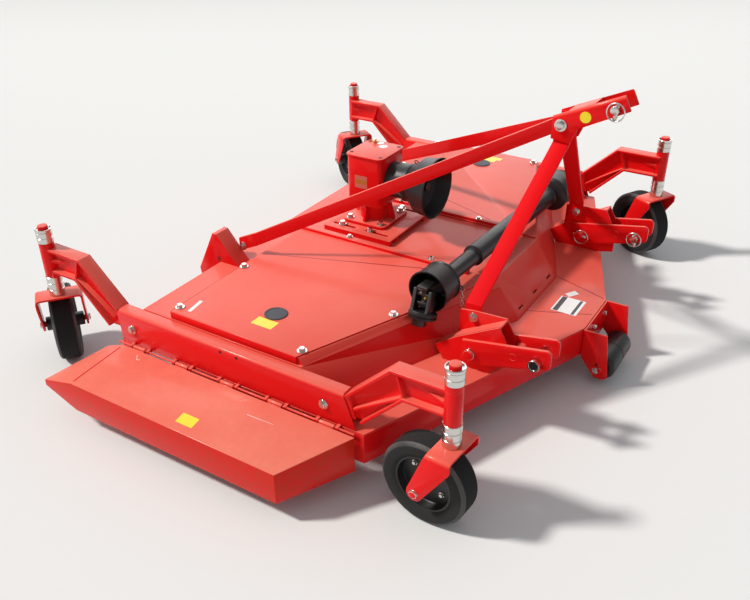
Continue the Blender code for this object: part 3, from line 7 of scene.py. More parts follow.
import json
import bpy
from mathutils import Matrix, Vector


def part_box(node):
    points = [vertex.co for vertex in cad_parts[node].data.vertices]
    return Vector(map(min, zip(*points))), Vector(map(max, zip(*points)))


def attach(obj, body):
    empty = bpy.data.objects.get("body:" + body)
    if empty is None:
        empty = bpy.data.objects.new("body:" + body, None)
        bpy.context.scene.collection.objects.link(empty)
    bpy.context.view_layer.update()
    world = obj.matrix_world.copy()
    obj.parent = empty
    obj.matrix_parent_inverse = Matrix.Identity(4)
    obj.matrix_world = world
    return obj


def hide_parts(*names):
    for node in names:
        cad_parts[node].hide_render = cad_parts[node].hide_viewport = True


bl_info = {
    "name": "Finishing mower",
    "version": (1, 0, 0),
    "blender": (4, 5, 0),
    "location": "View3D > Sidebar > Mower",
    "description": "Dresses a finishing mower with its paint, tyres, guards, fasteners and marks",
    "category": "Object",
}

from math import asin, cos, pi, radians, sin

import bpy
from bpy.props import FloatProperty, FloatVectorProperty, IntProperty, PointerProperty
from mathutils import Matrix, Vector

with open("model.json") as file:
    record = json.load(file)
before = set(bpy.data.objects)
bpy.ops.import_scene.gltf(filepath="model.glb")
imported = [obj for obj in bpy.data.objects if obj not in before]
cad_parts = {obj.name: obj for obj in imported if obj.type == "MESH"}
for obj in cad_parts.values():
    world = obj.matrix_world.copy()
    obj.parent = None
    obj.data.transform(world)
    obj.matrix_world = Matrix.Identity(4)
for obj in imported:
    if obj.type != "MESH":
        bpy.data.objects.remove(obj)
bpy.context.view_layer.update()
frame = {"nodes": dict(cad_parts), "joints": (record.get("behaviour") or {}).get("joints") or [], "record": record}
JOINTS = {joint["name"]: joint for joint in frame["joints"]}
CORNERS = ("fr", "fl", "rr", "rl")
MM = 0.001
UP = Vector((0.0, 0.0, 1.0))
FORWARD = (1.0, 0.0, 0.0)
LEFTWARD = (0.0, 1.0, 0.0)
RIGHTWARD = (0.0, -1.0, 0.0)
AXLE_HEIGHT = 0.131


def joint_place(name):
    return Vector(JOINTS[name]["pos_m"])


KINGPINS = [joint_place(f"caster_{corner}_swivel") for corner in CORNERS]
ORIGIN = sum(KINGPINS, Vector()) / len(KINGPINS)
ROLLING_RADIUS = joint_place("wheel_fr_spin").z
ORIGIN.z = ROLLING_RADIUS - AXLE_HEIGHT


def at(x, y, z):
    """A place given in the machine's own axes, in the frame's."""
    return ORIGIN + Vector((x, y, z))


def mm(*rings):
    """A profile of (radius, height) given in millimetres, in metres."""
    return [(radius * MM, height * MM) for radius, height in rings]


def mirrored(rings):
    """The rings of a half profile, mirrored to the other side of the middle and in turned order."""
    return [(radius, -height) for radius, height in reversed(rings)]


# The user's sizes and colours


class MowerSizes(bpy.types.PropertyGroup):
    """Sizes that a user would change"""

    edge_round: FloatProperty(
        name="Edge rounding", description="Width of the rounded edges of sheet and castings",
        default=0.0012, unit="LENGTH",
    )
    bolt_width: FloatProperty(
        name="Bolt width", description="Across the flats of the cover bolts' heads",
        default=0.017, unit="LENGTH",
    )
    tread_grooves: IntProperty(
        name="Tread grooves", description="Grooves round each caster tyre", default=12,
    )


class MowerColours(bpy.types.PropertyGroup):
    """Colours that a user would change"""

    red: FloatVectorProperty(
        name="Paint", description="The machine's enamel", subtype="COLOR", default=(0.76, 0.004, 0.006),
    )
    rubber: FloatVectorProperty(
        name="Rubber", description="The tyres", subtype="COLOR", default=(0.006, 0.006, 0.007),
    )
    plastic: FloatVectorProperty(
        name="Plastic", description="Guards, rims and roller", subtype="COLOR", default=(0.010, 0.009, 0.010),
    )
    zinc: FloatVectorProperty(
        name="Zinc", description="Bolts, rings and pins", subtype="COLOR", default=(0.66, 0.65, 0.62),
    )
    steel: FloatVectorProperty(
        name="Steel", description="The blades", subtype="COLOR", default=(0.26, 0.25, 0.25),
    )
    brass: FloatVectorProperty(
        name="Brass", description="Breather and grease nipples", subtype="COLOR", default=(0.70, 0.42, 0.12),
    )
    yellow: FloatVectorProperty(
        name="Yellow", description="Blank yellow labels", subtype="COLOR", default=(0.90, 0.72, 0.01),
    )
    white: FloatVectorProperty(
        name="White", description="Blank white labels", subtype="COLOR", default=(0.86, 0.86, 0.85),
    )
    floor: FloatVectorProperty(
        name="Floor", description="The studio floor", subtype="COLOR", default=(0.80, 0.80, 0.79),
    )


def sizes():
    return bpy.context.scene.mower_sizes


def colours():
    return bpy.context.scene.mower_colours


# Node groups and materials


def new_group(name, inputs, outputs):
    group = bpy.data.node_groups.new(name, "ShaderNodeTree")
    for socket, value in inputs:
        made = group.interface.new_socket(socket, in_out="INPUT", socket_type="NodeSocketFloat")
        made.default_value = value
    for socket in outputs:
        group.interface.new_socket(socket, in_out="OUTPUT", socket_type="NodeSocketFloat")
    return group, group.nodes.new("NodeGroupInput"), group.nodes.new("NodeGroupOutput")


def grain_group():
    """Fine even grain over the piece, 0 to 1."""
    if "fine_grain" in bpy.data.node_groups:
        return bpy.data.node_groups["fine_grain"]
    group, given, out = new_group("fine_grain", [("Scale", 200.0), ("Detail", 2.0)], ["Value"])
    place = group.nodes.new("ShaderNodeTexCoord")
    noise = group.nodes.new("ShaderNodeTexNoise")
    group.links.new(place.outputs["Object"], noise.inputs["Vector"])
    group.links.new(given.outputs["Scale"], noise.inputs["Scale"])
    group.links.new(given.outputs["Detail"], noise.inputs["Detail"])
    group.links.new(noise.outputs["Fac"], out.inputs["Value"])
    return group


def dust_and_sheen_group():
    """A mask in soft patches, with one amount on tops and one on sides: thin dust, and on the enamels a painted
    sheen that lightens their tops.
    """
    if "dust_and_sheen_mask" in bpy.data.node_groups:
        return bpy.data.node_groups["dust_and_sheen_mask"]
    inputs = [("Top", 0.2), ("Side", 0.1), ("Scale", 6.0), ("Low", 0.28)]
    group, given, out = new_group("dust_and_sheen_mask", inputs, ["Mask"])
    place = group.nodes.new("ShaderNodeTexCoord")
    noise = group.nodes.new("ShaderNodeTexNoise")
    noise.inputs["Detail"].default_value = 6.0
    noise.inputs["Roughness"].default_value = 0.65
    spread = group.nodes.new("ShaderNodeMapRange")
    spread.inputs["From Max"].default_value = 0.75
    surface = group.nodes.new("ShaderNodeNewGeometry")
    split = group.nodes.new("ShaderNodeSeparateXYZ")
    amount = group.nodes.new("ShaderNodeMapRange")
    amount.inputs["From Min"].default_value = 0.2
    amount.inputs["From Max"].default_value = 0.8
    product = group.nodes.new("ShaderNodeMath")
    product.operation = "MULTIPLY"
    link = group.links.new
    link(place.outputs["Object"], noise.inputs["Vector"])
    link(given.outputs["Scale"], noise.inputs["Scale"])
    link(noise.outputs["Fac"], spread.inputs["Value"])
    link(given.outputs["Low"], spread.inputs["From Min"])
    link(surface.outputs["Normal"], split.inputs["Vector"])
    link(split.outputs["Z"], amount.inputs["Value"])
    link(given.outputs["Side"], amount.inputs["To Min"])
    link(given.outputs["Top"], amount.inputs["To Max"])
    link(spread.outputs["Result"], product.inputs[0])
    link(amount.outputs["Result"], product.inputs[1])
    link(product.outputs["Value"], out.inputs["Mask"])
    return group


def place_group(material, group, **values):
    node = material.node_tree.nodes.new("ShaderNodeGroup")
    node.node_tree = group
    for socket, value in values.items():
        node.inputs[socket].default_value = value
    return node


ROUGHNESS_SWING = 0.08


def finished(
    name, colour, roughness, metallic=0.0, coat=0.0, grain=200.0, bump=0.05, top=0.15, side=0.08, patches=6.0,
    dust_and_sheen_colour=(0.35, 0.30, 0.24), specular=0.5, tint=(1.0, 1.0, 1.0), low=0.28,
):
    """A material with dust in patches, uneven roughness and a fine bump; on the enamels the patches are a painted
    sheen that lightens the tops.

    The lower `low` is, the more evenly the dust and the painted sheen lie.
    """
    if name in bpy.data.materials:
        return bpy.data.materials[name]
    material = bpy.data.materials.new(name)
    material.use_nodes = True
    tree = material.node_tree
    link = tree.links.new
    shader = tree.nodes["Principled BSDF"]
    shader.inputs["Metallic"].default_value = metallic
    shader.inputs["Coat Weight"].default_value = coat
    shader.inputs["Coat Roughness"].default_value = 0.15
    shader.inputs["Specular IOR Level"].default_value = specular
    shader.inputs["Specular Tint"].default_value = (*tint, 1.0)
    film = place_group(material, dust_and_sheen_group(), Top=top, Side=side, Scale=patches, Low=low)
    mix = tree.nodes.new("ShaderNodeMix")
    mix.data_type = "RGBA"
    mix.inputs["A"].default_value = (*colour, 1.0)
    mix.inputs["B"].default_value = (*dust_and_sheen_colour, 1.0)
    link(film.outputs["Mask"], mix.inputs["Factor"])
    link(mix.outputs["Result"], shader.inputs["Base Color"])
    broad = place_group(material, grain_group(), Scale=9.0, Detail=4.0)
    level = tree.nodes.new("ShaderNodeMapRange")
    level.inputs["To Min"].default_value = roughness - ROUGHNESS_SWING
    level.inputs["To Max"].default_value = roughness + ROUGHNESS_SWING
    link(broad.outputs["Value"], level.inputs["Value"])
    dulled = tree.nodes.new("ShaderNodeMath")
    dulled.operation = "ADD"
    link(level.outputs["Result"], dulled.inputs[0])
    link(film.outputs["Mask"], dulled.inputs[1])
    link(dulled.outputs["Value"], shader.inputs["Roughness"])
    fine = place_group(material, grain_group(), Scale=grain, Detail=2.0)
    relief = tree.nodes.new("ShaderNodeBump")
    relief.inputs["Strength"].default_value = bump
    relief.inputs["Distance"].default_value = MM
    link(fine.outputs["Value"], relief.inputs["Height"])
    link(relief.outputs["Normal"], shader.inputs["Normal"])
    return material


# Salmon of a painted sheen: reflected light laid as colour, mostly on the enamels' tops.
PAINTED_SHEEN = (0.92, 0.36, 0.25)
SPLASH = (0.22, 0.07, 0.01)
EVEN = -0.5
ENAMEL = {"grain": 160.0, "bump": 0.03, "patches": 2.5, "tint": (1.0, 0.12, 0.11)}
PRINT = {"grain": 700.0, "bump": 0.03, "patches": 30.0}


# The salmon film on this enamel's tops is a painted sheen.
def red_enamel():
    return finished("red_enamel", colours().red, 0.22, coat=0.20, top=0.42, side=0.01, dust_and_sheen_colour=PAINTED_SHEEN,
                    specular=0.24, low=EVEN, **ENAMEL)


# The lighter pinkish red on this enamel's tops is a painted sheen.
def flat_enamel():
    return finished("flat_enamel", colours().red, 0.45, top=0.20, side=0.06, dust_and_sheen_colour=(0.85, 0.05, 0.08),
                    specular=0.15, **ENAMEL)


def splashed_enamel():
    """Enamel with brown splashes over a painted sheen on its tops."""
    if "splashed_enamel" in bpy.data.materials:
        return bpy.data.materials["splashed_enamel"]
    material = finished("splashed_enamel", colours().red, 0.24, coat=0.24, top=0.64, side=0.0,
                        dust_and_sheen_colour=PAINTED_SHEEN, specular=0.20, low=EVEN, **ENAMEL)
    tree = material.node_tree
    base = tree.nodes["Principled BSDF"].inputs["Base Color"]
    splash = place_group(material, dust_and_sheen_group(), Top=0.10, Side=0.40, Scale=55.0)
    mix = tree.nodes.new("ShaderNodeMix")
    mix.data_type = "RGBA"
    mix.inputs["B"].default_value = (*SPLASH, 1.0)
    tree.links.new(base.links[0].from_socket, mix.inputs["A"])
    tree.links.new(splash.outputs["Mask"], mix.inputs["Factor"])
    tree.links.new(mix.outputs["Result"], base)
    return material


# Scraped paint, with a thin film of the painted sheen in patches.
def scraped_paint():
    return finished("scraped_paint", (0.86, 0.50, 0.46), 0.45, grain=160.0, bump=0.02, top=0.05, side=0.05,
                    dust_and_sheen_colour=PAINTED_SHEEN)


# Dark red of painted shade, laid in folds, holes and the counterbores of bolts.
def painted_shade_red():
    return finished("fold_shade", (0.30, 0.002, 0.008), 0.40, grain=160.0, bump=0.02, top=0.02, side=0.02,
                    specular=0.3)


def tyre_rubber():
    return finished("tyre_rubber", colours().rubber, 0.62, grain=420.0, bump=0.25, top=0.22, side=0.14,
                    patches=14.0, dust_and_sheen_colour=(0.040, 0.034, 0.032), specular=0.14)


# Paler rubber with lighter tops for the tyres' shoulders: a painted highlight where they catch the light.
def shoulder_highlight_rubber():
    return finished("shoulder_highlight_rubber", (0.030, 0.029, 0.028), 0.50, grain=420.0, bump=0.20, top=0.62, side=0.25,
                    patches=11.0, dust_and_sheen_colour=(0.24, 0.23, 0.22), specular=0.4)


def moulded_plastic():
    return finished("moulded_plastic", colours().plastic, 0.34, grain=600.0, bump=0.08, top=0.14, side=0.05,
                    patches=10.0, dust_and_sheen_colour=(0.12, 0.11, 0.11), specular=0.40)


def plug_rubber():
    return finished("plug_rubber", (0.045, 0.050, 0.065), 0.50, grain=500.0, bump=0.10, top=0.25, side=0.10,
                    patches=30.0, dust_and_sheen_colour=(0.14, 0.13, 0.13), specular=0.35)


def bright_zinc():
    return finished("bright_zinc", colours().zinc, 0.20, metallic=1.0, grain=500.0, bump=0.04, top=0.06,
                    side=0.04, patches=25.0)


def oiled_steel():
    return finished("oiled_steel", colours().steel, 0.34, metallic=1.0, grain=300.0, bump=0.12, top=0.12,
                    side=0.10, patches=30.0, dust_and_sheen_colour=(0.10, 0.06, 0.04))


def black_steel():
    return finished("black_steel", (0.085, 0.080, 0.082), 0.42, metallic=1.0, grain=300.0, bump=0.14,
                    top=0.12, side=0.10, patches=30.0, dust_and_sheen_colour=(0.08, 0.05, 0.03))


def turned_brass():
    return finished("turned_brass", colours().brass, 0.26, metallic=1.0, grain=400.0, bump=0.05, top=0.08,
                    side=0.05, patches=40.0)


# Near-black of painted shade, for the insides of holes and bores.
def painted_hole_shade():
    return finished("painted_hole_shade", (0.012, 0.008, 0.008), 0.55, grain=300.0, bump=0.10, top=0.10, side=0.10,
                    patches=40.0, dust_and_sheen_colour=(0.05, 0.03, 0.02), specular=0.25)


def yellow_vinyl():
    return finished("yellow_vinyl", colours().yellow, 0.34, top=0.04, side=0.03, **PRINT)


def white_vinyl():
    return finished("white_vinyl", colours().white, 0.36, top=0.06, side=0.04, **PRINT)


def printed_grey():
    return finished("printed_grey", (0.045, 0.040, 0.055), 0.40, top=0.06, side=0.04, **PRINT)


def rosy_foil():
    return finished("rosy_foil", (0.62, 0.20, 0.15), 0.34, metallic=0.4, grain=600.0, bump=0.04, top=0.05,
                    side=0.04, patches=30.0)


def amber_print():
    return finished("amber_print", (0.46, 0.16, 0.01), 0.38, top=0.06, side=0.04, **PRINT)


# Modelling helpers


CREASE = 35.0
FINE_CREASE = 25.0


def deselect():
    bpy.ops.object.select_all(action="DESELECT")


def only(obj):
    deselect()
    obj.select_set(True)
    bpy.context.view_layer.objects.active = obj


def edit(obj, mode="VERT"):
    only(obj)
    bpy.ops.object.mode_set(mode="EDIT")
    bpy.ops.mesh.select_mode(type=mode)
    bpy.ops.mesh.select_all(action="SELECT")


def leave():
    bpy.ops.object.mode_set(mode="OBJECT")


def draw_up(height):
    """Extrudes the selection along Z."""
    bpy.ops.mesh.extrude_region_move(TRANSFORM_OT_translate={"value": (0.0, 0.0, height)})


def draw_in(share, height):
    """Scales the selection about the Z axis, at its height."""
    bpy.ops.transform.resize(value=(share, share, 1.0), center_override=(0.0, 0.0, height))


def face_outwards():
    """Turns every face of the piece in edit mode outwards, and leaves edit mode."""
    bpy.ops.mesh.select_all(action="SELECT")
    bpy.ops.mesh.normals_make_consistent(inside=False)
    leave()


def copied(template, move=None):
    """A copy with its own mesh, moved by the matrix."""
    copy = bpy.data.objects.new(template.name, template.data.copy())
    bpy.context.collection.objects.link(copy)
    if move is not None:
        copy.data.transform(move)
    return copy


def joined(parts):
    """The parts as one object, which is the first of them."""
    deselect()
    for part in parts:
        part.select_set(True)
    bpy.context.view_layer.objects.active = parts[0]
    if len(parts) > 1:
        bpy.ops.object.join()
    return parts[0]


def discard(*objects):
    for obj in objects:
        bpy.data.objects.remove(obj, do_unlink=True)


def clothe(obj, material):
    obj.data.materials.clear()
    obj.data.materials.append(material)


def settle(obj, name, material, body="root", angle=CREASE):
    """Shades and names the piece, puts its place into its mesh, and lets it ride on its body."""
    only(obj)
    bpy.ops.object.shade_smooth_by_angle(angle=radians(angle))
    bpy.ops.object.transform_apply(location=True, rotation=True, scale=True)
    obj.name = name
    obj.data.name = name
    clothe(obj, material)
    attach(obj, body)


def body_of(node):
    for body, members in frame["record"]["behaviour"]["bodies"].items():
        if node in members:
            return body
    raise ValueError(f"no body holds {node}")


def round_edges(obj, width, segments):
    bevel = obj.modifiers.new("edges", "BEVEL")
    bevel.width = width
    bevel.segments = segments
    bevel.limit_method = "ANGLE"
    bevel.angle_limit = radians(CREASE)
    bevel.use_clamp_overlap = False
    bevel.miter_outer = "MITER_ARC"
    only(obj)
    bpy.ops.object.modifier_apply(modifier=bevel.name)


def dressed(node, name, material, slot, edge=None, segments=2, cut=None):
    """The node's own form as one skin with rounded edges, which stands for it. A plane may trim it."""
    skin = copied(frame["nodes"][node])
    edit(skin)
    bpy.ops.mesh.remove_doubles(threshold=0.01 * MM)
    bpy.ops.mesh.dissolve_limited(angle_limit=radians(0.4))
    if cut is not None:
        bpy.ops.mesh.select_all(action="SELECT")
        point, outward = cut
        bpy.ops.mesh.bisect(plane_co=point, plane_no=outward, use_fill=True, clear_outer=True)
    leave()
    width = sizes().edge_round if edge is None else edge
    if width > 0:
        round_edges(skin, width, segments)
    settle(skin, name, material, body_of(node))
    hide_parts(node)


def painted(node, material=None, **shape):
    """The node's own form in the machine's paint."""
    dressed(node, f"{node}_painted", material or red_enamel(), "red_paint", **shape)


def turned(profile, steps, closed=False):
    """Rings of (radius, height) extruded one from the next about Z. Open ends are filled."""
    radius, height = profile[0]
    bpy.ops.mesh.primitive_circle_add(
        vertices=steps, radius=radius, fill_type="NOTHING", location=(0.0, 0.0, height)
    )
    obj = bpy.context.active_object
    bpy.ops.object.transform_apply(location=True)
    edit(obj, "EDGE")
    for next_radius, next_height in profile[1:]:
        draw_up(next_height - height)
        draw_in(next_radius / radius, next_height)
        radius, height = next_radius, next_height
    leave()
    ends = (profile[0], profile[-1])
    if closed:
        pick(obj, lambda p: near_ring(p, ends[0]) or near_ring(p, ends[1]))
        bpy.ops.mesh.bridge_edge_loops()
        leave()
    else:
        for end in ends:
            pick(obj, lambda p, end=end: near_ring(p, end))
            bpy.ops.mesh.edge_face_add()
            leave()
    edit(obj)
    face_outwards()
    return obj


def near_ring(point, ring):
    radius, height = ring
    return abs(point.z - height) < 0.01 * MM and abs(Vector((point.x, point.y)).length - radius) < 0.01 * MM


def pick(obj, test):
    """Leaves the object in edit mode with the vertices that pass the test selected."""
    edit(obj)
    bpy.ops.mesh.select_all(action="DESELECT")
    leave()
    for vertex in obj.data.vertices:
        vertex.select = bool(test(vertex.co))
    bpy.ops.object.mode_set(mode="EDIT")


def aim(direction):
    """A turn that takes +Z to the direction."""
    return UP.rotation_difference(Vector(direction)).to_matrix().to_4x4()


def stand(obj, place, direction):
    """Turns the piece from +Z to the direction and puts its origin at a place of the machine."""
    obj.data.transform(Matrix.Translation(at(*place)) @ aim(direction))


def turned_piece(name, profile, place, direction, material, steps, body="root", closed=False):
    obj = turned(profile, steps, closed)
    stand(obj, place, direction)
    settle(obj, name, material, body)
    return obj


def wire_ring(radius, wire, steps):
    """A round wire bent to a closed ring about Z."""
    around = 10
    angles = [2 * pi * k / around for k in range(around)]
    profile = [(radius + wire * cos(angle), wire * sin(angle)) for angle in angles]
    return turned(profile, steps, closed=True)


def plate(name, size, corner, thickness, place, along, normal, material, body="root"):
    """A thin plate with rounded corners on a surface: its length runs along, its thickness up the normal."""
    bpy.ops.mesh.primitive_plane_add(size=1.0)
    obj = bpy.context.active_object
    edit(obj)
    bpy.ops.transform.resize(value=(*size, 1.0))
    bpy.ops.mesh.bevel(offset=corner, segments=4, affect="VERTICES")
    bpy.ops.mesh.select_all(action="SELECT")
    draw_up(thickness)
    face_outwards()
    upward = Vector(normal).normalized()
    forward = (Vector(along) - Vector(along).dot(upward) * upward).normalized()
    turn = Matrix((forward, upward.cross(forward), upward)).transposed().to_4x4()
    obj.data.transform(Matrix.Translation(at(*place)) @ turn)
    settle(obj, name, material, body, FINE_CREASE)


# Fasteners


BOLT_TURN = radians(17.0)


def bolt_template(width, height, washer, washer_height=2 * MM):
    """A hexagon head with a chamfered top on its washer, standing on z = 0."""
    radius = width / 2 / cos(pi / 6)
    bpy.ops.mesh.primitive_cylinder_add(
        vertices=6, radius=radius, depth=height, location=(0.0, 0.0, washer_height + height / 2)
    )
    head = bpy.context.active_object
    bpy.ops.object.transform_apply(location=True)
    top = washer_height + height
    pick(head, lambda p: p.z > top - MM * 0.1)
    draw_up(MM * 0.8)
    draw_in(0.82, top)
    leave()
    bore = width * 0.4
    rim = washer / 2
    profile = [(bore, 0.0), (rim - MM * 0.3, 0.0), (rim, MM * 0.4), (rim, washer_height - MM * 0.4)]
    profile += [(rim - MM * 0.3, washer_height), (bore, washer_height)]
    return joined([head, turned(profile, 24)])


def fasten(name, template, places, body="root", material=None):
    """Fasteners at each (place, direction) of the machine, each turned a little further, as one piece."""
    made = []
    for number, (place, direction) in enumerate(places):
        turn = Matrix.Rotation(BOLT_TURN * number, 4, "Z")
        made.append(copied(template, Matrix.Translation(at(*place)) @ aim(direction) @ turn))
    settle(joined(made), name, material or bright_zinc(), body, FINE_CREASE)


# Operators


SIDES = (("right", -1), ("left", 1))
SHEET_NODES = (
    "deck_plate", "deck_skirt", "belt_box", "cover_right", "cover_left", "rail_right", "rail_left",
    "brace_bracket_right", "brace_bracket_left",
)
COVER_FACE = 0.3383
COVER_BOLT_SEAT = 0.3386
BAR_BOLT_SEAT = 0.3506
LOBE_FACE = 0.2060
RAIL_FACE = 0.9152
COVER_BOLTS = ((0.221, 0.831), (0.342, 0.533), (-0.240, 0.832), (-0.239, 0.527))
BAR_BOLTS = ((-0.046, 0.182), (0.278, 0.182))
RAIL_BOLTS = (-0.375, 0.349)
RAIL_HOLES = (-0.013, 0.047)
RAIL_HOLE = mm((4.4, 0), (4.6, 0.2), (3.6, 0.3))
BRACKET_HOLE = mm((8.0, 0), (8.4, 0.2), (7.0, 0.35))
GROMMET = mm(
    (33.0, 0), (35.5, 0.6), (35.8, 2.4), (34.0, 3.4), (31.0, 3.4), (29.5, 2.2), (12.0, 2.8), (2.0, 3.0)
)


class MOWER_OT_sheetwork(bpy.types.Operator):
    """Deck, belt box, covers, rails and brackets in folded painted sheet, with their bolts and plugs"""

    bl_idname = "mower.sheetwork"
    bl_label = "Painted sheetwork"

    def execute(self, context):
        for node in SHEET_NODES:
            painted(node)
        bolt = bolt_template(sizes().bolt_width, 8 * MM, 30 * MM)
        small = bolt_template(13 * MM, 6 * MM, 22 * MM)
        for side, s in SIDES:
            out = (0.0, s, 0.0)
            fasten(f"cover_bolts_{side}", bolt, [((x, s * y, COVER_BOLT_SEAT), UP) for x, y in COVER_BOLTS])
            fasten(f"bar_bolts_{side}", small, [((x, s * y, BAR_BOLT_SEAT), UP) for x, y in BAR_BOLTS])
            fasten(f"rail_bolts_{side}", bolt, [((x, s * 0.9153, 0.258), out) for x in RAIL_BOLTS])
            fasten(f"brace_foot_bolt_{side}", bolt, [((-0.313, s * 0.4401, 0.358), out)])
            # Dark discs of painted shade where the rails have holes.
            for number, x in enumerate(RAIL_HOLES):
                turned_piece(
                    f"rail_hole_{number}_{side}", RAIL_HOLE, (x, s * RAIL_FACE, 0.3008), out, painted_hole_shade(),
                    20,
                )
            # A thin dark red disc of painted shade where the bracket has a hole.
            turned_piece(
                f"bracket_hole_{side}", BRACKET_HOLE, (-0.3716, s * 0.5021, 0.322), out, painted_shade_red(),
                28,
            )
            turned_piece(
                f"cover_plug_{side}", GROMMET, (0.037, s * 0.712, 0.3384), UP, plug_rubber(),
                48,
            )
            self.fold_shade_line(f"cover_fold_shade_{side}", (-0.250, s * 0.423), (0.359, s * 0.203), COVER_FACE)
        self.fold_shade_line("lobe_fold_shade_left", (0.602, 0.173), (0.792, 0.108), LOBE_FACE)
        self.fold_shade_line("lobe_fold_shade_right", (0.597, -0.099), (0.792, -0.012), LOBE_FACE)
        discard(bolt, small)
        return {"FINISHED"}

    # A thin dark red strip of painted shade along a fold in the sheet.
    def fold_shade_line(self, name, start, end, height):
        run = Vector((end[0] - start[0], end[1] - start[1], 0.0))
        middle = ((start[0] + end[0]) / 2, (start[1] + end[1]) / 2, height)
        plate(name, (run.length, 3.6 * MM), 1.6 * MM, 0.3 * MM, middle, run, UP, painted_shade_red())


FRAME_NODES = (
    "brace_right", "brace_left", "top_hitch_head", "hitch_bracket_right", "hitch_bracket_left",
    "lower_clevis_right", "lower_clevis_left", "gearbox_mount",
)
PIN_X = 0.788
PIN_Z = 0.304
HEEL_X = 0.584
HEEL_Z = 0.265
LINCH_REACH = 0.411
LINCH_LENGTH = 52 * MM
LINCH_SHANK = mm((3.0, 0), (4.6, 2.0), (4.8, 38.0), (6.8, 40.0), (7.2, 47.0), (4.0, 52.0))
PIN_SOCKET = mm((12.8, 0), (12.8, 5.0), (13.6, 5.8), (17.4, 5.8), (18.2, 5.0), (18.2, 0))
PIN_BORE = mm((13.0, 0), (12.9, 2.6), (4.0, 2.2))
HEEL_COLLAR = mm((15.1, 0), (15.1, 11.0), (15.6, 11.6), (17.2, 11.6), (17.8, 11.0), (17.8, 0))
PRESSED_RING = mm((9.6, 0), (10.2, 0.8), (11.4, 0.8), (12.0, 0))


def linch_pin(name, place, down, outward, ring_drop):
    """A headed pin along `down` through a hitch pin, with its snap ring hanging in front."""
    fall = Vector(down).normalized()
    out = Vector(outward).normalized()
    shank = turned(LINCH_SHANK, 20)
    stand(shank, Vector(place) - fall * LINCH_LENGTH * 0.42, fall)
    ring = wire_ring(26 * MM, 2.1 * MM, 40)
    stand(ring, Vector(place) + fall * ring_drop + out * 9 * MM, out)
    settle(joined([shank, ring]), name, bright_zinc(), angle=40.0)


class MOWER_OT_hitch(bpy.types.Operator):
    """Hitch frame, brackets and clevises, with their pins, snap rings and bolts"""

    bl_idname = "mower.hitch"
    bl_label = "Hitch frame"

    def execute(self, context):
        for node in FRAME_NODES:
            painted(node)
        for side, _ in SIDES:
            painted(f"a_frame_leg_{side}", flat_enamel())
        for node in ("top_pin", "lower_pin_right", "lower_pin_left"):
            dressed(node, f"{node}_plated", bright_zinc(), "zinc_steel", 0.8 * MM)
        head_bolt = bolt_template(23 * MM, 10 * MM, 38 * MM, 4 * MM)
        fasten("head_bolts", head_bolt, [((0.6265, s * 0.0413, 0.831), (0.0, s, 0.0)) for s in (-1, 1)])
        leg_bolt = bolt_template(19 * MM, 9 * MM, 30 * MM)
        for side, s in SIDES:
            out = (0.0, s, 0.0)
            inward = (0.0, -s, 0.0)
            ends = [((0.561, s * 0.4398, 0.350), out), ((0.561, s * 0.4226, 0.350), inward)]
            fasten(f"leg_foot_bolts_{side}", leg_bolt, ends)
            turned_piece(
                f"pin_socket_{side}", PIN_SOCKET, (PIN_X, s * 0.5170, PIN_Z), out, bright_zinc(),
                40, closed=True,
            )
            # A dark dish of painted shade in the pin's bore.
            turned_piece(
                f"pin_bore_{side}", PIN_BORE, (PIN_X, s * 0.5180, PIN_Z), out, painted_hole_shade(), 32
            )
            turned_piece(
                f"heel_collar_{side}", HEEL_COLLAR, (HEEL_X, s * 0.5003, HEEL_Z), out, bright_zinc(),
                40, closed=True,
            )
            for number, (y, way) in enumerate(((0.5000, out), (0.4230, inward))):
                turned_piece(
                    f"embossed_ring_{number}_{side}", PRESSED_RING, (0.7175, s * y, 0.297), way, red_enamel(),
                    36, closed=True,
                )
            lower = (PIN_X, s * LINCH_REACH, PIN_Z)
            heel = (HEEL_X, s * LINCH_REACH, HEEL_Z)
            linch_pin(f"lower_linch_pin_{side}", lower, (0.05, 0.0, -1.0), inward, 3 * MM)
            linch_pin(f"heel_linch_pin_{side}", heel, (1.0, 0.0, -0.12), inward, 12 * MM)
        linch_pin("top_linch_pin", (0.790, -0.0535, 0.905), (-0.12, 0.0, -1.0), RIGHTWARD, 3 * MM)
        discard(head_bolt, leg_bolt)
        return {"FINISHED"}


KINGPIN_BASE = 0.2766
RING = 25.6 * MM
SLEEVE_BOTTOM = 0.3449
TUBE_TOP = 0.4472
SLEEVE_TOP = 0.4660
CAP_BASE = 0.5070
CAP = mm((16.2, 0), (16.3, 13.6), (15.8, 15.2), (14.6, 16.0), (9.0, 16.5), (2.0, 16.6))
SLEEVE = mm((15.0, 0), (24.4, 0), (24.4, 18.6), (15.0, 18.6))
FORK_TOP = 0.276
FORK_PLATE_REAR = 0.033
FORK_FOOT = 24.6 * MM
AXLE_REACH = 75.2 * MM


def spacer(bottom, top):
    """One spacer ring of the kingpin, as the profile of its outside."""
    face = RING - 1.6 * MM
    return [(face, bottom), (RING, bottom + 1.2 * MM), (RING, top - 1.2 * MM), (face, top)]


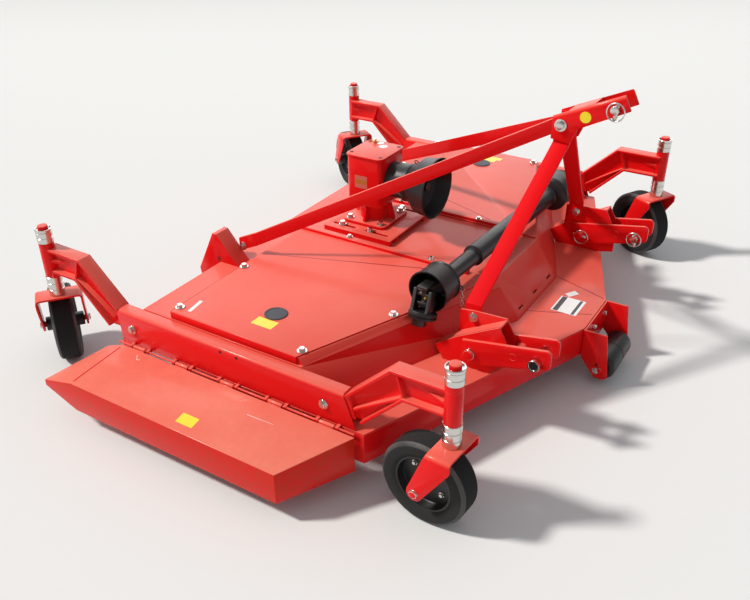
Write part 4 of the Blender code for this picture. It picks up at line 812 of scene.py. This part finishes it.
def kingpin_profile():
    """Spacer rings below and above the tube's neck, and the lip round the cap, from the base up."""
    stack = [(12.0 * MM, KINGPIN_BASE)]
    for bottom, top in ((0.2766, 0.2990), (0.2994, 0.3220), (0.3224, SLEEVE_BOTTOM)):
        stack += spacer(bottom, top)
    stack += [(14.6 * MM, SLEEVE_BOTTOM + 0.1 * MM), (14.6 * MM, SLEEVE_TOP)]
    for bottom, top in ((SLEEVE_TOP + 0.2 * MM, 0.4848), (0.4852, 0.5046)):
        stack += spacer(bottom, top)
    stack += [(25.6 * MM, 0.5050), (26.6 * MM, 0.5060), (26.6 * MM, 0.5124), (25.8 * MM, 0.5136)]
    stack += [(24.4 * MM, 0.5140), (22.6 * MM, 0.5128), (22.2 * MM, 0.5080), (15.0 * MM, CAP_BASE)]
    return [(radius, height - KINGPIN_BASE) for radius, height in stack]


def fork_slope(corner):
    """The plane of a fork's rear edges, from the plate's end to the round of the feet."""
    kingpin = joint_place(f"caster_{corner}_swivel")
    axle = joint_place(f"wheel_{corner}_spin")
    back = Vector((axle.x - kingpin.x, axle.y - kingpin.y, 0.0))
    trail = back.length
    back.normalize()
    start = Vector((FORK_PLATE_REAR, FORK_TOP))
    down = Vector((trail, AXLE_HEIGHT)) - start
    swing = asin(FORK_FOOT / down.length)
    along = Vector((down.x * cos(swing) - down.y * sin(swing), down.x * sin(swing) + down.y * cos(swing)))
    outward = back * -along.y + Vector(UP) * along.x
    foot = kingpin - ORIGIN
    return Vector(at(foot.x, foot.y, FORK_TOP)) + back * FORK_PLATE_REAR, outward.normalized()


class MOWER_OT_casters(bpy.types.Operator):
    """Arms, forks and axle nuts, and kingpins with their spacer rings and painted caps"""

    bl_idname = "mower.casters"
    bl_label = "Caster arms and forks"

    def execute(self, context):
        pin = turned(kingpin_profile(), 56)
        cap = turned(CAP, 40)
        sleeve = turned(SLEEVE, 48, closed=True)
        nut = bolt_template(22 * MM, 4.6 * MM, 25 * MM, 1.2 * MM)
        for corner in CORNERS:
            body = f"caster_{corner}"
            painted(f"arm_{corner}", edge=1.6 * MM)
            painted(f"fork_{corner}", cut=fork_slope(corner))
            foot = joint_place(f"caster_{corner}_swivel") - ORIGIN
            for template, name, height, material, slot, carrier in (
                (pin, f"kingpin_{corner}_plated", KINGPIN_BASE, bright_zinc(), "zinc_steel", body),
                (cap, f"kingpin_cap_{corner}", CAP_BASE, red_enamel(), "red_paint", body),
                (sleeve, f"kingpin_tube_top_{corner}", TUBE_TOP, red_enamel(), "red_paint", "root"),
            ):
                piece = copied(template, Matrix.Translation(at(foot.x, foot.y, height)))
                settle(piece, name, material, carrier, 30.0)
                if template is pin:
                    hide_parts(f"kingpin_{corner}")
            axis = Vector(JOINTS[f"wheel_{corner}_spin"]["axis"]).normalized()
            centre = joint_place(f"wheel_{corner}_spin") - ORIGIN
            ends = [(centre + way * axis * AXLE_REACH, way * axis) for way in (-1, 1)]
            fasten(f"axle_nuts_{corner}", nut, ends, body)
        discard(pin, cap, nut, sleeve)
        return {"FINISHED"}


def wheel_matrix(corner):
    """From a wheel turned about Z to its place on the caster."""
    joint = JOINTS[f"wheel_{corner}_spin"]
    return Matrix.Translation(joint["pos_m"]) @ aim(joint["axis"])


TYRE_SHOULDER = 29.5 * MM
GROOVE_DEPTH = 0.0026
RIM_BOLTS = 4
RIM_BOLT_CIRCLE = 0.055
RIM_BOLT_SEAT = 4.3 * MM


def tyre_profile():
    """Bead, wall and shoulder, then the tread's grooves, and the first side mirrored."""
    half = 0.039
    bead = 0.0863
    outer = ROLLING_RADIUS
    tread = half - 0.0085
    side = [(bead, -half + 0.006), (bead + 0.006, -half + 0.0015), (bead + 0.012, -half + 0.0002)]
    side += [(outer - 0.020, -half), (outer - 0.010, -half + 0.0012), (outer - 0.004, -half + 0.0040)]
    side += [(outer - 0.0008, -tread)]
    ridges = []
    pitch = 2 * (tread - 0.001) / sizes().tread_grooves
    for k in range(sizes().tread_grooves):
        start = -tread + 0.001 + k * pitch
        ridges += [(outer, start + pitch * 0.08), (outer, start + pitch * 0.66)]
        ridges += [(outer - GROOVE_DEPTH, start + pitch * 0.76), (outer - GROOVE_DEPTH, start + pitch * 0.98)]
    return side + ridges + mirrored(side)


def rim_profile():
    """Barrel, web and hub with its bore, gone round once."""
    half = [(0.0855, 0.0330), (0.0812, 0.0330), (0.0800, 0.0322), (0.0800, 0.0085), (0.0775, 0.0052)]
    half += [(0.0700, 0.0042), (0.0400, 0.0042), (0.0300, 0.0055), (0.0256, 0.0085), (0.0240, 0.0140)]
    half += [(0.0240, 0.0600), (0.0230, 0.0620), (0.0112, 0.0620), (0.0106, 0.0612)]
    return [(0.0860, 0.0322)] + half + mirrored(half) + [(0.0860, -0.0322)]


class MOWER_OT_wheels(bpy.types.Operator):
    """Grooved tyres, dished rims and their bolts"""

    bl_idname = "mower.wheels"
    bl_label = "Caster wheels"

    def execute(self, context):
        tyre = turned(tyre_profile(), 96, closed=True)
        shoulders = [
            face.index for face in tyre.data.polygons
            if abs(face.center.z) > TYRE_SHOULDER and face.center.xy.length > ROLLING_RADIUS - 12 * MM
        ]
        rim = turned(rim_profile(), 72, closed=True)
        bolt = bolt_template(11 * MM, 5 * MM, 17 * MM, 1.5 * MM)
        for corner in CORNERS:
            body = f"wheel_{corner}"
            place = wheel_matrix(corner)
            for template, node, name, material, slot in (
                (tyre, "tyre", "ribbed", tyre_rubber(), "tyre_rubber"),
                (rim, "rim", "moulded", moulded_plastic(), "black_plastic"),
            ):
                copy = copied(template, place)
                settle(copy, f"{node}_{corner}_{name}", material, body, 40.0)
                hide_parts(f"{node}_{corner}")
                if template is tyre:
                    # The shoulder faces take the paler rubber, a painted highlight.
                    copy.data.materials.append(shoulder_highlight_rubber())
                    for index in shoulders:
                        copy.data.polygons[index].material_index = 1
            spots = []
            for k in range(RIM_BOLTS):
                around = 2 * pi / RIM_BOLTS * k + radians(35.0)
                for way in (-1, 1):
                    local = Vector((cos(around), sin(around), 0.0)) * RIM_BOLT_CIRCLE
                    local.z = way * RIM_BOLT_SEAT
                    direction = place.to_3x3() @ Vector((0.0, 0.0, way))
                    spots.append((place @ local - ORIGIN, direction))
            fasten(f"rim_bolts_{corner}", bolt, spots, body)
        discard(tyre, rim, bolt)
        return {"FINISHED"}


CHUTE_NORMAL = (0.0, -0.18, 0.98)
SCRAPES = (
    (0.168, -0.9970, 0.1933, 0.052, 2.6 * MM, (1.0, 0.02, 0.0)),
    (0.214, -0.9957, 0.1935, 0.038, 1.5 * MM, (1.0, 0.03, 0.0)),
    (-0.322, -0.9600, 0.2001, 0.020, 3.0 * MM, (0.6, -0.8, 0.0)),
    (-0.310, -0.9680, 0.1987, 0.014, 3.0 * MM, (1.0, 0.3, 0.0)),
)


class MOWER_OT_deflector(bpy.types.Operator):
    """Side deflector and its hinge, with the crease and the scrapes in its top"""

    bl_idname = "mower.deflector"
    bl_label = "Deflector"

    def execute(self, context):
        painted("chute", splashed_enamel(), edge=2.0 * MM, segments=3)
        painted("chute_hinge_rod", edge=0.4 * MM)
        body = body_of("chute")
        # A strip without the chute's salmon sheen along the crease between top and far flange: painted shade of
        # the fold.
        plate(
            "deflector_crease", (0.180, 3.4 * MM), 1.4 * MM, 0.4 * MM, (-0.417, -1.036, 0.1862),
            (-0.0234, -0.178, -0.0329), (-0.125, -0.16, 0.97), flat_enamel(), body=body,
        )
        for number, (x, y, z, length, width, along) in enumerate(SCRAPES):
            plate(
                f"deflector_scrape_{number}", (length, width), width * 0.48, 0.15 * MM, (x, y, z), along,
                CHUTE_NORMAL, scraped_paint(), body=body,
            )
        return {"FINISHED"}


LID_TOP = 0.6133
LID_BOLTS = ((-0.112, -0.058), (-0.112, 0.066), (0.007, 0.066), (0.007, -0.058))
LID_BOLT = mm((7.6, 0), (8.0, 0.25), (5.4, 0.3), (5.0, 1.6), (2.6, 1.7))
BREATHER = (-0.089, 0.062)
BREATHER_CAP = mm((4.2, 0), (4.6, 1.0), (4.6, 5.0), (3.4, 6.6), (1.2, 7.2))
INPUT_HEIGHT = 0.519
SPLINES = 6
SPLINE_STEPS = 8
SPLINE_DEPTH = 0.86
SHAFT_CHAMFER = 2 * MM


class MOWER_OT_gearbox(bpy.types.Operator):
    """Gearbox with lid bolts, breather and base nuts, splined input shaft and its bell guard"""

    bl_idname = "mower.gearbox"
    bl_label = "Gearbox"

    def execute(self, context):
        painted("gearbox", edge=1.6 * MM)
        painted("gearbox_lid", edge=1.2 * MM)
        # The lid bolts sit in counterbores, and their dark red is painted shade.
        for number, (x, y) in enumerate(LID_BOLTS):
            turned_piece(f"lid_bolt_{number}", LID_BOLT, (x, y, LID_TOP), UP, painted_shade_red(), 24)
        base = bolt_template(17 * MM, 5 * MM, 22 * MM, 1 * MM)
        dome = turned(BREATHER_CAP, 20)
        fasten("breather_base", base, [((*BREATHER, LID_TOP), UP)], "root", turned_brass())
        fasten("breather_cap", dome, [((*BREATHER, LID_TOP + 6.6 * MM), UP)])
        discard(base, dome)
        flange = bolt_template(18 * MM, 10 * MM, 28 * MM, 2.4 * MM)
        spots = [((-0.051 + 0.064 * a, b * 0.070, 0.3655), UP) for a in (-1, 1) for b in (-1, 1)]
        spots += [((x, b * 0.112, 0.3532), UP) for x in (-0.122, -0.004) for b in (-1, 1)]
        fasten("gearbox_base_nuts", flange, spots)
        discard(flange)
        self.splined_shaft()
        self.bell_guard()
        return {"FINISHED"}

    def splined_shaft(self):
        """Six splines raised by drawing the valleys of one ring in, then extruded along the shaft."""
        low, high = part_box("input_shaft")
        length = high[0] - low[0]
        steps = SPLINES * SPLINE_STEPS
        bpy.ops.mesh.primitive_circle_add(vertices=steps, radius=17.0 * MM, fill_type="NGON")
        shaft = bpy.context.active_object

        def in_valley(point):
            angle = Vector((1.0, 0.0)).angle_signed(point.xy) % (2 * pi)
            return int(angle / (2 * pi / steps) + 0.5) % SPLINE_STEPS < SPLINE_STEPS / 2

        pick(shaft, in_valley)
        draw_in(SPLINE_DEPTH, 0.0)
        bpy.ops.mesh.select_all(action="SELECT")
        draw_up(length - SHAFT_CHAMFER)
        draw_up(SHAFT_CHAMFER)
        draw_in(SPLINE_DEPTH, length)
        face_outwards()
        stand(shaft, (low[0] - ORIGIN.x, 0.0, INPUT_HEIGHT), FORWARD)
        body = body_of("input_shaft")
        settle(shaft, "input_shaft_splined", black_steel(), body, FINE_CREASE)
        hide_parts("input_shaft")

    def bell_guard(self):
        """A flared bell with its lips, the seal inside it and the wire latch on top."""
        outside = [(0.0608, 0.0206), (0.0622, 0.0214), (0.0622, 0.0290), (0.0628, 0.0296), (0.0628, 0.0310)]
        outside += [(0.0620, 0.0318), (0.0626, 0.0860), (0.0660, 0.0875), (0.0674, 0.0890), (0.0674, 0.0985)]
        outside += [(0.0660, 0.1000), (0.0650, 0.1030), (0.0930, 0.1400), (0.0965, 0.1432), (0.0972, 0.1460)]
        outside += [(0.1030, 0.1900), (0.1050, 0.1935), (0.1072, 0.1945), (0.1074, 0.1985), (0.1062, 0.1998)]
        inside = [(0.1042, 0.1998), (0.1026, 0.1960), (0.0944, 0.1462), (0.0920, 0.1425), (0.0620, 0.1030)]
        inside += [(0.0596, 0.0985), (0.0590, 0.0206)]
        lip = [(0.0200, 0.0206), (0.0450, 0.0206), (0.0455, 0.0215), (0.0450, 0.0260), (0.0300, 0.0285)]
        lip += [(0.0195, 0.0270)]
        guard = turned(outside + inside, 72, closed=True)
        seal = turned(lip, 48, closed=True)
        loop = wire_ring(6.5 * MM, 1.6 * MM, 24)
        stand(guard, (0.0, 0.0, INPUT_HEIGHT), FORWARD)
        stand(seal, (0.0, 0.0, INPUT_HEIGHT), FORWARD)
        stand(loop, (0.118, -0.004, INPUT_HEIGHT + 0.082), (0.0, 1.0, 0.25))
        whole = joined([guard, seal, loop])
        settle(whole, "input_guard_moulded", moulded_plastic(), angle=30.0)
        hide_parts("input_guard")


SHAFT_NEAR = Vector((0.416, -0.460, 0.4027))
SHAFT_FAR = Vector((0.463, 0.500, 0.4027))
NEAR_CROSS = Vector((0.415, -0.476, 0.4027))
NEAR_TAIL = Vector((0.0, -0.309, -0.951))
HOOK_RUN = 0.085
YOKE_COLLAR = mm(
    (29.0, 0), (40.0, 0), (44.0, 2.0), (44.8, 5.6), (44.0, 8.0), (40.5, 8.4), (40.5, 12.0), (44.0, 12.4),
    (43.6, 18.0), (39.0, 20.0), (29.0, 20.4),
)
NIPPLE = mm((4.4, 0), (4.4, 3.0), (2.6, 3.8), (3.2, 6.0), (1.4, 8.0))
CHAIN_LINKS = 5
CHAIN_PITCH = 12.0 * MM


class MOWER_OT_drive_shaft(bpy.types.Operator):
    """Drive shaft stored on the covers: guard bells and tubes, yokes, a collar and the holding chain"""

    bl_idname = "mower.drive_shaft"
    bl_label = "Drive shaft"

    def execute(self, context):
        run = SHAFT_FAR - SHAFT_NEAR
        axis = run.normalized()
        length = run.length
        shell = [(0.0640, 0.0), (0.0668, 0.0008), (0.0674, 0.0022), (0.0668, 0.0046), (0.0648, 0.0062)]
        shell += [(0.0634, 0.0400), (0.0618, 0.0800), (0.0634, 0.0812), (0.0646, 0.0830), (0.0646, 0.0865)]
        shell += [(0.0632, 0.0885), (0.0590, 0.0930), (0.0470, 0.0985), (0.0330, 0.1010), (0.0290, 0.1025)]
        shell += [(0.0200, 0.1025), (0.0200, 0.0960), (0.0440, 0.0940), (0.0560, 0.0890), (0.0596, 0.0800)]
        shell += [(0.0616, 0.0060), (0.0622, 0.0004)]
        near = turned(shell, 72, closed=True)
        far = turned(shell, 72, closed=True)
        step = length * 0.30
        tube = [(0.0200, 0.0960), (0.0270, 0.0965), (0.0290, 0.1020), (0.0345, 0.1035), (0.0345, 0.1090)]
        tube += [(0.0300, 0.1105), (0.0335, 0.1125), (0.0335, 0.1170), (0.0285, 0.1190), (0.0272, 0.1240)]
        tube += [(0.0270, step - 0.012), (0.0300, step - 0.010), (0.0352, step - 0.008)]
        tube += [(0.0356, step - 0.001), (0.0332, step + 0.002), (0.0330, length - 0.125)]
        tube += [(0.0360, length - 0.121), (0.0360, length - 0.112), (0.0300, length - 0.108)]
        tube += [(0.0290, length - 0.1025), (0.0200, length - 0.0960)]
        barrel = turned(tube, 56)
        stand(near, SHAFT_NEAR, axis)
        stand(far, SHAFT_FAR, -axis)
        stand(barrel, SHAFT_NEAR, axis)
        hook = wire_ring(7.0 * MM, 2.0 * MM, 24)
        stand(hook, SHAFT_NEAR + axis * HOOK_RUN + Vector((0.0665, 0.0, -0.006)), (0.25, 1.0, 0.2))
        guard = joined([near, far, barrel, hook])
        settle(guard, "drive_shaft_guard_moulded", moulded_plastic(), angle=30.0)
        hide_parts("drive_shaft_guard")
        for node in ("drive_shaft_yoke_near", "drive_shaft_yoke_far"):
            dressed(node, f"{node}_steel", black_steel(), "bare_steel", 1.6 * MM, 3)
        spot = NEAR_CROSS + NEAR_TAIL * 0.052 + Vector((0.006, 0.0, 0.0))
        turned_piece(
            "yoke_collar_near", YOKE_COLLAR, spot, NEAR_TAIL, moulded_plastic(), 48,
            closed=True,
        )
        nipple = turned(NIPPLE, 16)
        spots = [(NEAR_CROSS + Vector((0.010, -0.012, -0.006)), (0.35, -0.75, 0.4))]
        fasten("grease_nipple_near", nipple, spots, "root", turned_brass())
        discard(nipple)
        self.chain(axis)
        return {"FINISHED"}

    def chain(self, axis):
        """Holding chain from the bell's hook down onto the belt box, one link turned against the next."""
        link = wire_ring(5.2 * MM, 1.2 * MM, 20)
        edit(link)
        bpy.ops.transform.resize(value=(1.0, 1.5, 1.0))
        leave()
        top = SHAFT_NEAR + axis * HOOK_RUN + Vector((0.0700, 0.0, -0.014))
        upright = Matrix.Rotation(pi / 2, 4, "X")
        made = []
        for k in range(CHAIN_LINKS):
            around = Matrix.Rotation(pi / 2 * k + radians(20.0), 4, "Z")
            place = at(*(top - Vector((0.0, 0.0, CHAIN_PITCH * k))))
            made.append(copied(link, Matrix.Translation(place) @ around @ upright))
        settle(joined(made), "guard_chain", bright_zinc(), angle=45.0)
        discard(link)


ROLLER_HALF = [
    (0.0419, 0.0022), (0.0434, 0.0040), (0.0434, 0.0820), (0.0426, 0.0862), (0.0404, 0.0900),
    (0.0360, 0.0930), (0.0240, 0.0940), (0.0160, 0.0930), (0.0120, 0.0900),
]
ROLLER_HOLE = mm((4.2, 0), (4.4, 0.2), (3.4, 0.3))
ROLLER_BRACKET_TOP = 0.203


class MOWER_OT_running_gear(bpy.types.Operator):
    """Front roller with its bracket, bolts and axle nuts, spindles and blades"""

    bl_idname = "mower.running_gear"
    bl_label = "Roller, spindles and blades"

    def execute(self, context):
        roller = turned_piece(
            "roller_moulded", mirrored(ROLLER_HALF) + ROLLER_HALF, (0.868, 0.0, 0.070), LEFTWARD,
            moulded_plastic(), 72, body_of("roller"),
        )
        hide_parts("roller")
        painted("roller_bracket", cut=(at(0.0, 0.0, ROLLER_BRACKET_TOP), UP))
        bolt = bolt_template(13 * MM, 7 * MM, 18 * MM)
        fasten("roller_bracket_bolts", bolt, [((0.8066, y, 0.170), FORWARD) for y in (-0.025, 0.079)])
        axle = bolt_template(15 * MM, 3 * MM, 22 * MM, 1.4 * MM)
        fasten("roller_axle_nuts", axle, [((0.855, s * 0.1102, 0.064), (0.0, s, 0.0)) for s in (-1, 1)])
        # Dark discs of painted shade at the roller bracket's axle holes.
        for side, s in SIDES:
            turned_piece(
                f"roller_hole_{side}", ROLLER_HOLE, (0.855, s * 0.1101, 0.087), (0.0, s, 0.0), painted_hole_shade(),
                20,
            )
        discard(bolt, axle)
        for place in ("centre", "right", "left"):
            painted(f"spindle_{place}")
            dressed(f"blade_{place}", f"blade_{place}_steel", oiled_steel(), "bare_steel", 0.6 * MM)
        return {"FINISHED"}


FILM = 0.35 * MM
HEAD_DISC = mm((16.4, 0), (17.0, 0.2), (16.8, 0.6), (9.0, 0.65))
LID_DISCS = ((-0.070, 0.066, 13.5 * MM), (-0.0425, 0.040, 15.5 * MM))
MIDDLE_LABELS = (
    ("data_plate", (0.103, 0.087), 2.0 * MM, 0.6 * MM, (0.7055, 0.002, 0.2061), LEFTWARD, UP, white_vinyl),
    ("data_plate_band", (0.099, 0.017), 0.8 * MM, 0.2 * MM, (0.676, 0.002, 0.2067), LEFTWARD, UP,
     printed_grey),
    ("data_plate_edge", (0.099, 0.010), 0.8 * MM, 0.2 * MM, (0.735, 0.002, 0.2067), LEFTWARD, UP,
     printed_grey),
    ("lobe_label", (0.042, 0.024), 1.2 * MM, FILM, (0.688, 0.083, 0.2061), (0.55, 0.83, 0.0), UP,
     white_vinyl),
    ("deflector_label", (0.060, 0.036), 1.5 * MM, FILM, (0.0016, -1.0891, 0.1764), FORWARD, CHUTE_NORMAL,
     yellow_vinyl),
    ("gearbox_plate", (0.050, 0.046), 2.0 * MM, 0.5 * MM, (-0.061, -0.0801, 0.517), FORWARD, RIGHTWARD,
     rosy_foil),
    ("gearbox_plate_panel", (0.043, 0.016), 1.0 * MM, 0.2 * MM, (-0.061, -0.0806, 0.517), FORWARD, RIGHTWARD,
     amber_print),
)


class MOWER_OT_labels(bpy.types.Operator):
    """Blank labels, plates and discs where the machine carries printed ones"""

    bl_idname = "mower.labels"
    bl_label = "Blank labels"

    def execute(self, context):
        yellow = yellow_vinyl()
        white = white_vinyl()
        for side, s in SIDES:
            plate(
                f"cover_label_{side}", (0.074, 0.041), 1.5 * MM, FILM, (0.039, s * 0.769, COVER_FACE),
                FORWARD, UP, yellow,
            )
            plate(
                f"cover_strip_{side}", (0.067, 0.012), 1.0 * MM, FILM, (-0.204, s * 0.803, COVER_FACE),
                (-0.15, s * -1.0, 0.0), UP, white,
            )
            turned_piece(
                f"head_disc_{side}", HEAD_DISC, (0.6985, s * 0.0411, 0.8663), (0.0, s, 0.0), yellow, 48
            )
        for name, size, corner, thickness, place, along, normal, material in MIDDLE_LABELS:
            body = body_of("chute") if name == "deflector_label" else "root"
            plate(name, size, corner, thickness, place, along, normal, material(), body=body)
        for number, (x, y, radius) in enumerate(LID_DISCS):
            disc = [(radius - 0.4 * MM, 0.0), (radius, 0.15 * MM)]
            disc += [(radius - 0.2 * MM, FILM), (radius / 2, FILM)]
            turned_piece(f"lid_disc_{number}", disc, (x, y, 0.6130), UP, white, 40)
        plate("far_cover_label", (0.052, 0.030), 1.5 * MM, FILM, (0.0657, 0.790, 0.3384), FORWARD, UP, yellow)
        return {"FINISHED"}


# Stage


LENS = 40.118
SENSOR = 36.0
CAMERA_PLACE = at(1.4322, -2.3681, 1.6579)
CAMERA_AZIMUTH = 32.19
CAMERA_ELEVATION = 30.71
CAMERA_ROLL = -0.611


def camera_turn():
    """The photograph's viewing direction as a rotation."""
    azimuth, elevation, roll = (radians(a) for a in (CAMERA_AZIMUTH, CAMERA_ELEVATION, CAMERA_ROLL))
    back = Vector((sin(azimuth) * cos(elevation), -cos(azimuth) * cos(elevation), sin(elevation)))
    right = (-back).cross(UP).normalized()
    upward = right.cross(-back)
    turned_right = cos(roll) * right + sin(roll) * upward
    turned_up = -sin(roll) * right + cos(roll) * upward
    return Matrix((turned_right, turned_up, back)).transposed()


class MOWER_OT_stage(bpy.types.Operator):
    """Floor, lamps, world and camera"""

    bl_idname = "mower.stage"
    bl_label = "Studio"

    def execute(self, context):
        scene = context.scene
        scene.view_settings.view_transform = "Standard"
        bpy.ops.mesh.primitive_grid_add(x_subdivisions=4, y_subdivisions=4, size=60.0)
        floor = context.active_object
        floor.name = "studio_floor"
        matt = bpy.data.materials.new("floor_paper")
        matt.use_nodes = True
        shader = matt.node_tree.nodes["Principled BSDF"]
        shader.inputs["Base Color"].default_value = (*colours().floor, 1.0)
        shader.inputs["Roughness"].default_value = 0.9
        clothe(floor, matt)
        world = scene.world or bpy.data.worlds.new("studio")
        scene.world = world
        world.use_nodes = True
        sky = world.node_tree.nodes["Background"]
        sky.inputs["Color"].default_value = (0.93, 0.96, 1.0, 1.0)
        sky.inputs["Strength"].default_value = 0.42
        sun = bpy.data.lights.new("key", "SUN")
        sun.energy = 2.9
        sun.angle = radians(6.0)
        sun.color = (1.0, 0.97, 0.92)
        key = bpy.data.objects.new("key", sun)
        context.collection.objects.link(key)
        key.rotation_euler = Vector((-0.62, -0.42, 0.80)).to_track_quat("Z", "Y").to_euler()
        panel = bpy.data.lights.new("gloss_panel", "AREA")
        panel.shape = "RECTANGLE"
        panel.size = 9.0
        panel.size_y = 5.2
        panel.energy = 290.0
        glow = bpy.data.objects.new("gloss_panel", panel)
        context.collection.objects.link(glow)
        reach = Vector((-0.45, 0.71, 0.60)) * 5.2
        glow.location = reach
        glow.rotation_euler = (reach - Vector((0.0, 0.0, 0.3))).to_track_quat("Z", "Y").to_euler()
        glow.visible_diffuse = False
        glow.visible_camera = False
        data = bpy.data.cameras.new("photo_view")
        data.sensor_width = SENSOR
        data.lens = LENS
        camera = bpy.data.objects.new("photo_view", data)
        context.collection.objects.link(camera)
        camera.matrix_world = Matrix.Translation(CAMERA_PLACE) @ camera_turn().to_4x4()
        scene.camera = camera
        return {"FINISHED"}


OPERATORS = (
    MOWER_OT_stage,
    MOWER_OT_sheetwork,
    MOWER_OT_hitch,
    MOWER_OT_casters,
    MOWER_OT_wheels,
    MOWER_OT_deflector,
    MOWER_OT_gearbox,
    MOWER_OT_drive_shaft,
    MOWER_OT_running_gear,
    MOWER_OT_labels,
)


class MOWER_PT_panel(bpy.types.Panel):
    """The mower's sizes, colours and parts"""

    bl_idname = "MOWER_PT_panel"
    bl_label = "Finishing mower"
    bl_space_type = "VIEW_3D"
    bl_region_type = "UI"
    bl_category = "Mower"

    def draw(self, context):
        for group in (context.scene.mower_sizes, context.scene.mower_colours):
            box = self.layout.box()
            for name in group.bl_rna.properties.keys():
                if name not in ("rna_type", "name"):
                    box.prop(group, name)
        for operator in OPERATORS:
            self.layout.operator(operator.bl_idname)


CLASSES = (MowerSizes, MowerColours, *OPERATORS, MOWER_PT_panel)


def register():
    for cls in CLASSES:
        bpy.utils.register_class(cls)
    bpy.types.Scene.mower_sizes = PointerProperty(type=MowerSizes)
    bpy.types.Scene.mower_colours = PointerProperty(type=MowerColours)


def unregister():
    del bpy.types.Scene.mower_colours
    del bpy.types.Scene.mower_sizes
    for cls in reversed(CLASSES):
        bpy.utils.unregister_class(cls)


def main():
    register()
    bpy.ops.object.select_all(action="DESELECT")
    bpy.ops.mower.stage()
    bpy.ops.mower.sheetwork()
    bpy.ops.mower.hitch()
    bpy.ops.mower.casters()
    bpy.ops.mower.wheels()
    bpy.ops.mower.deflector()
    bpy.ops.mower.gearbox()
    bpy.ops.mower.drive_shaft()
    bpy.ops.mower.running_gear()
    bpy.ops.mower.labels()


if __name__ == "__main__":
    main()
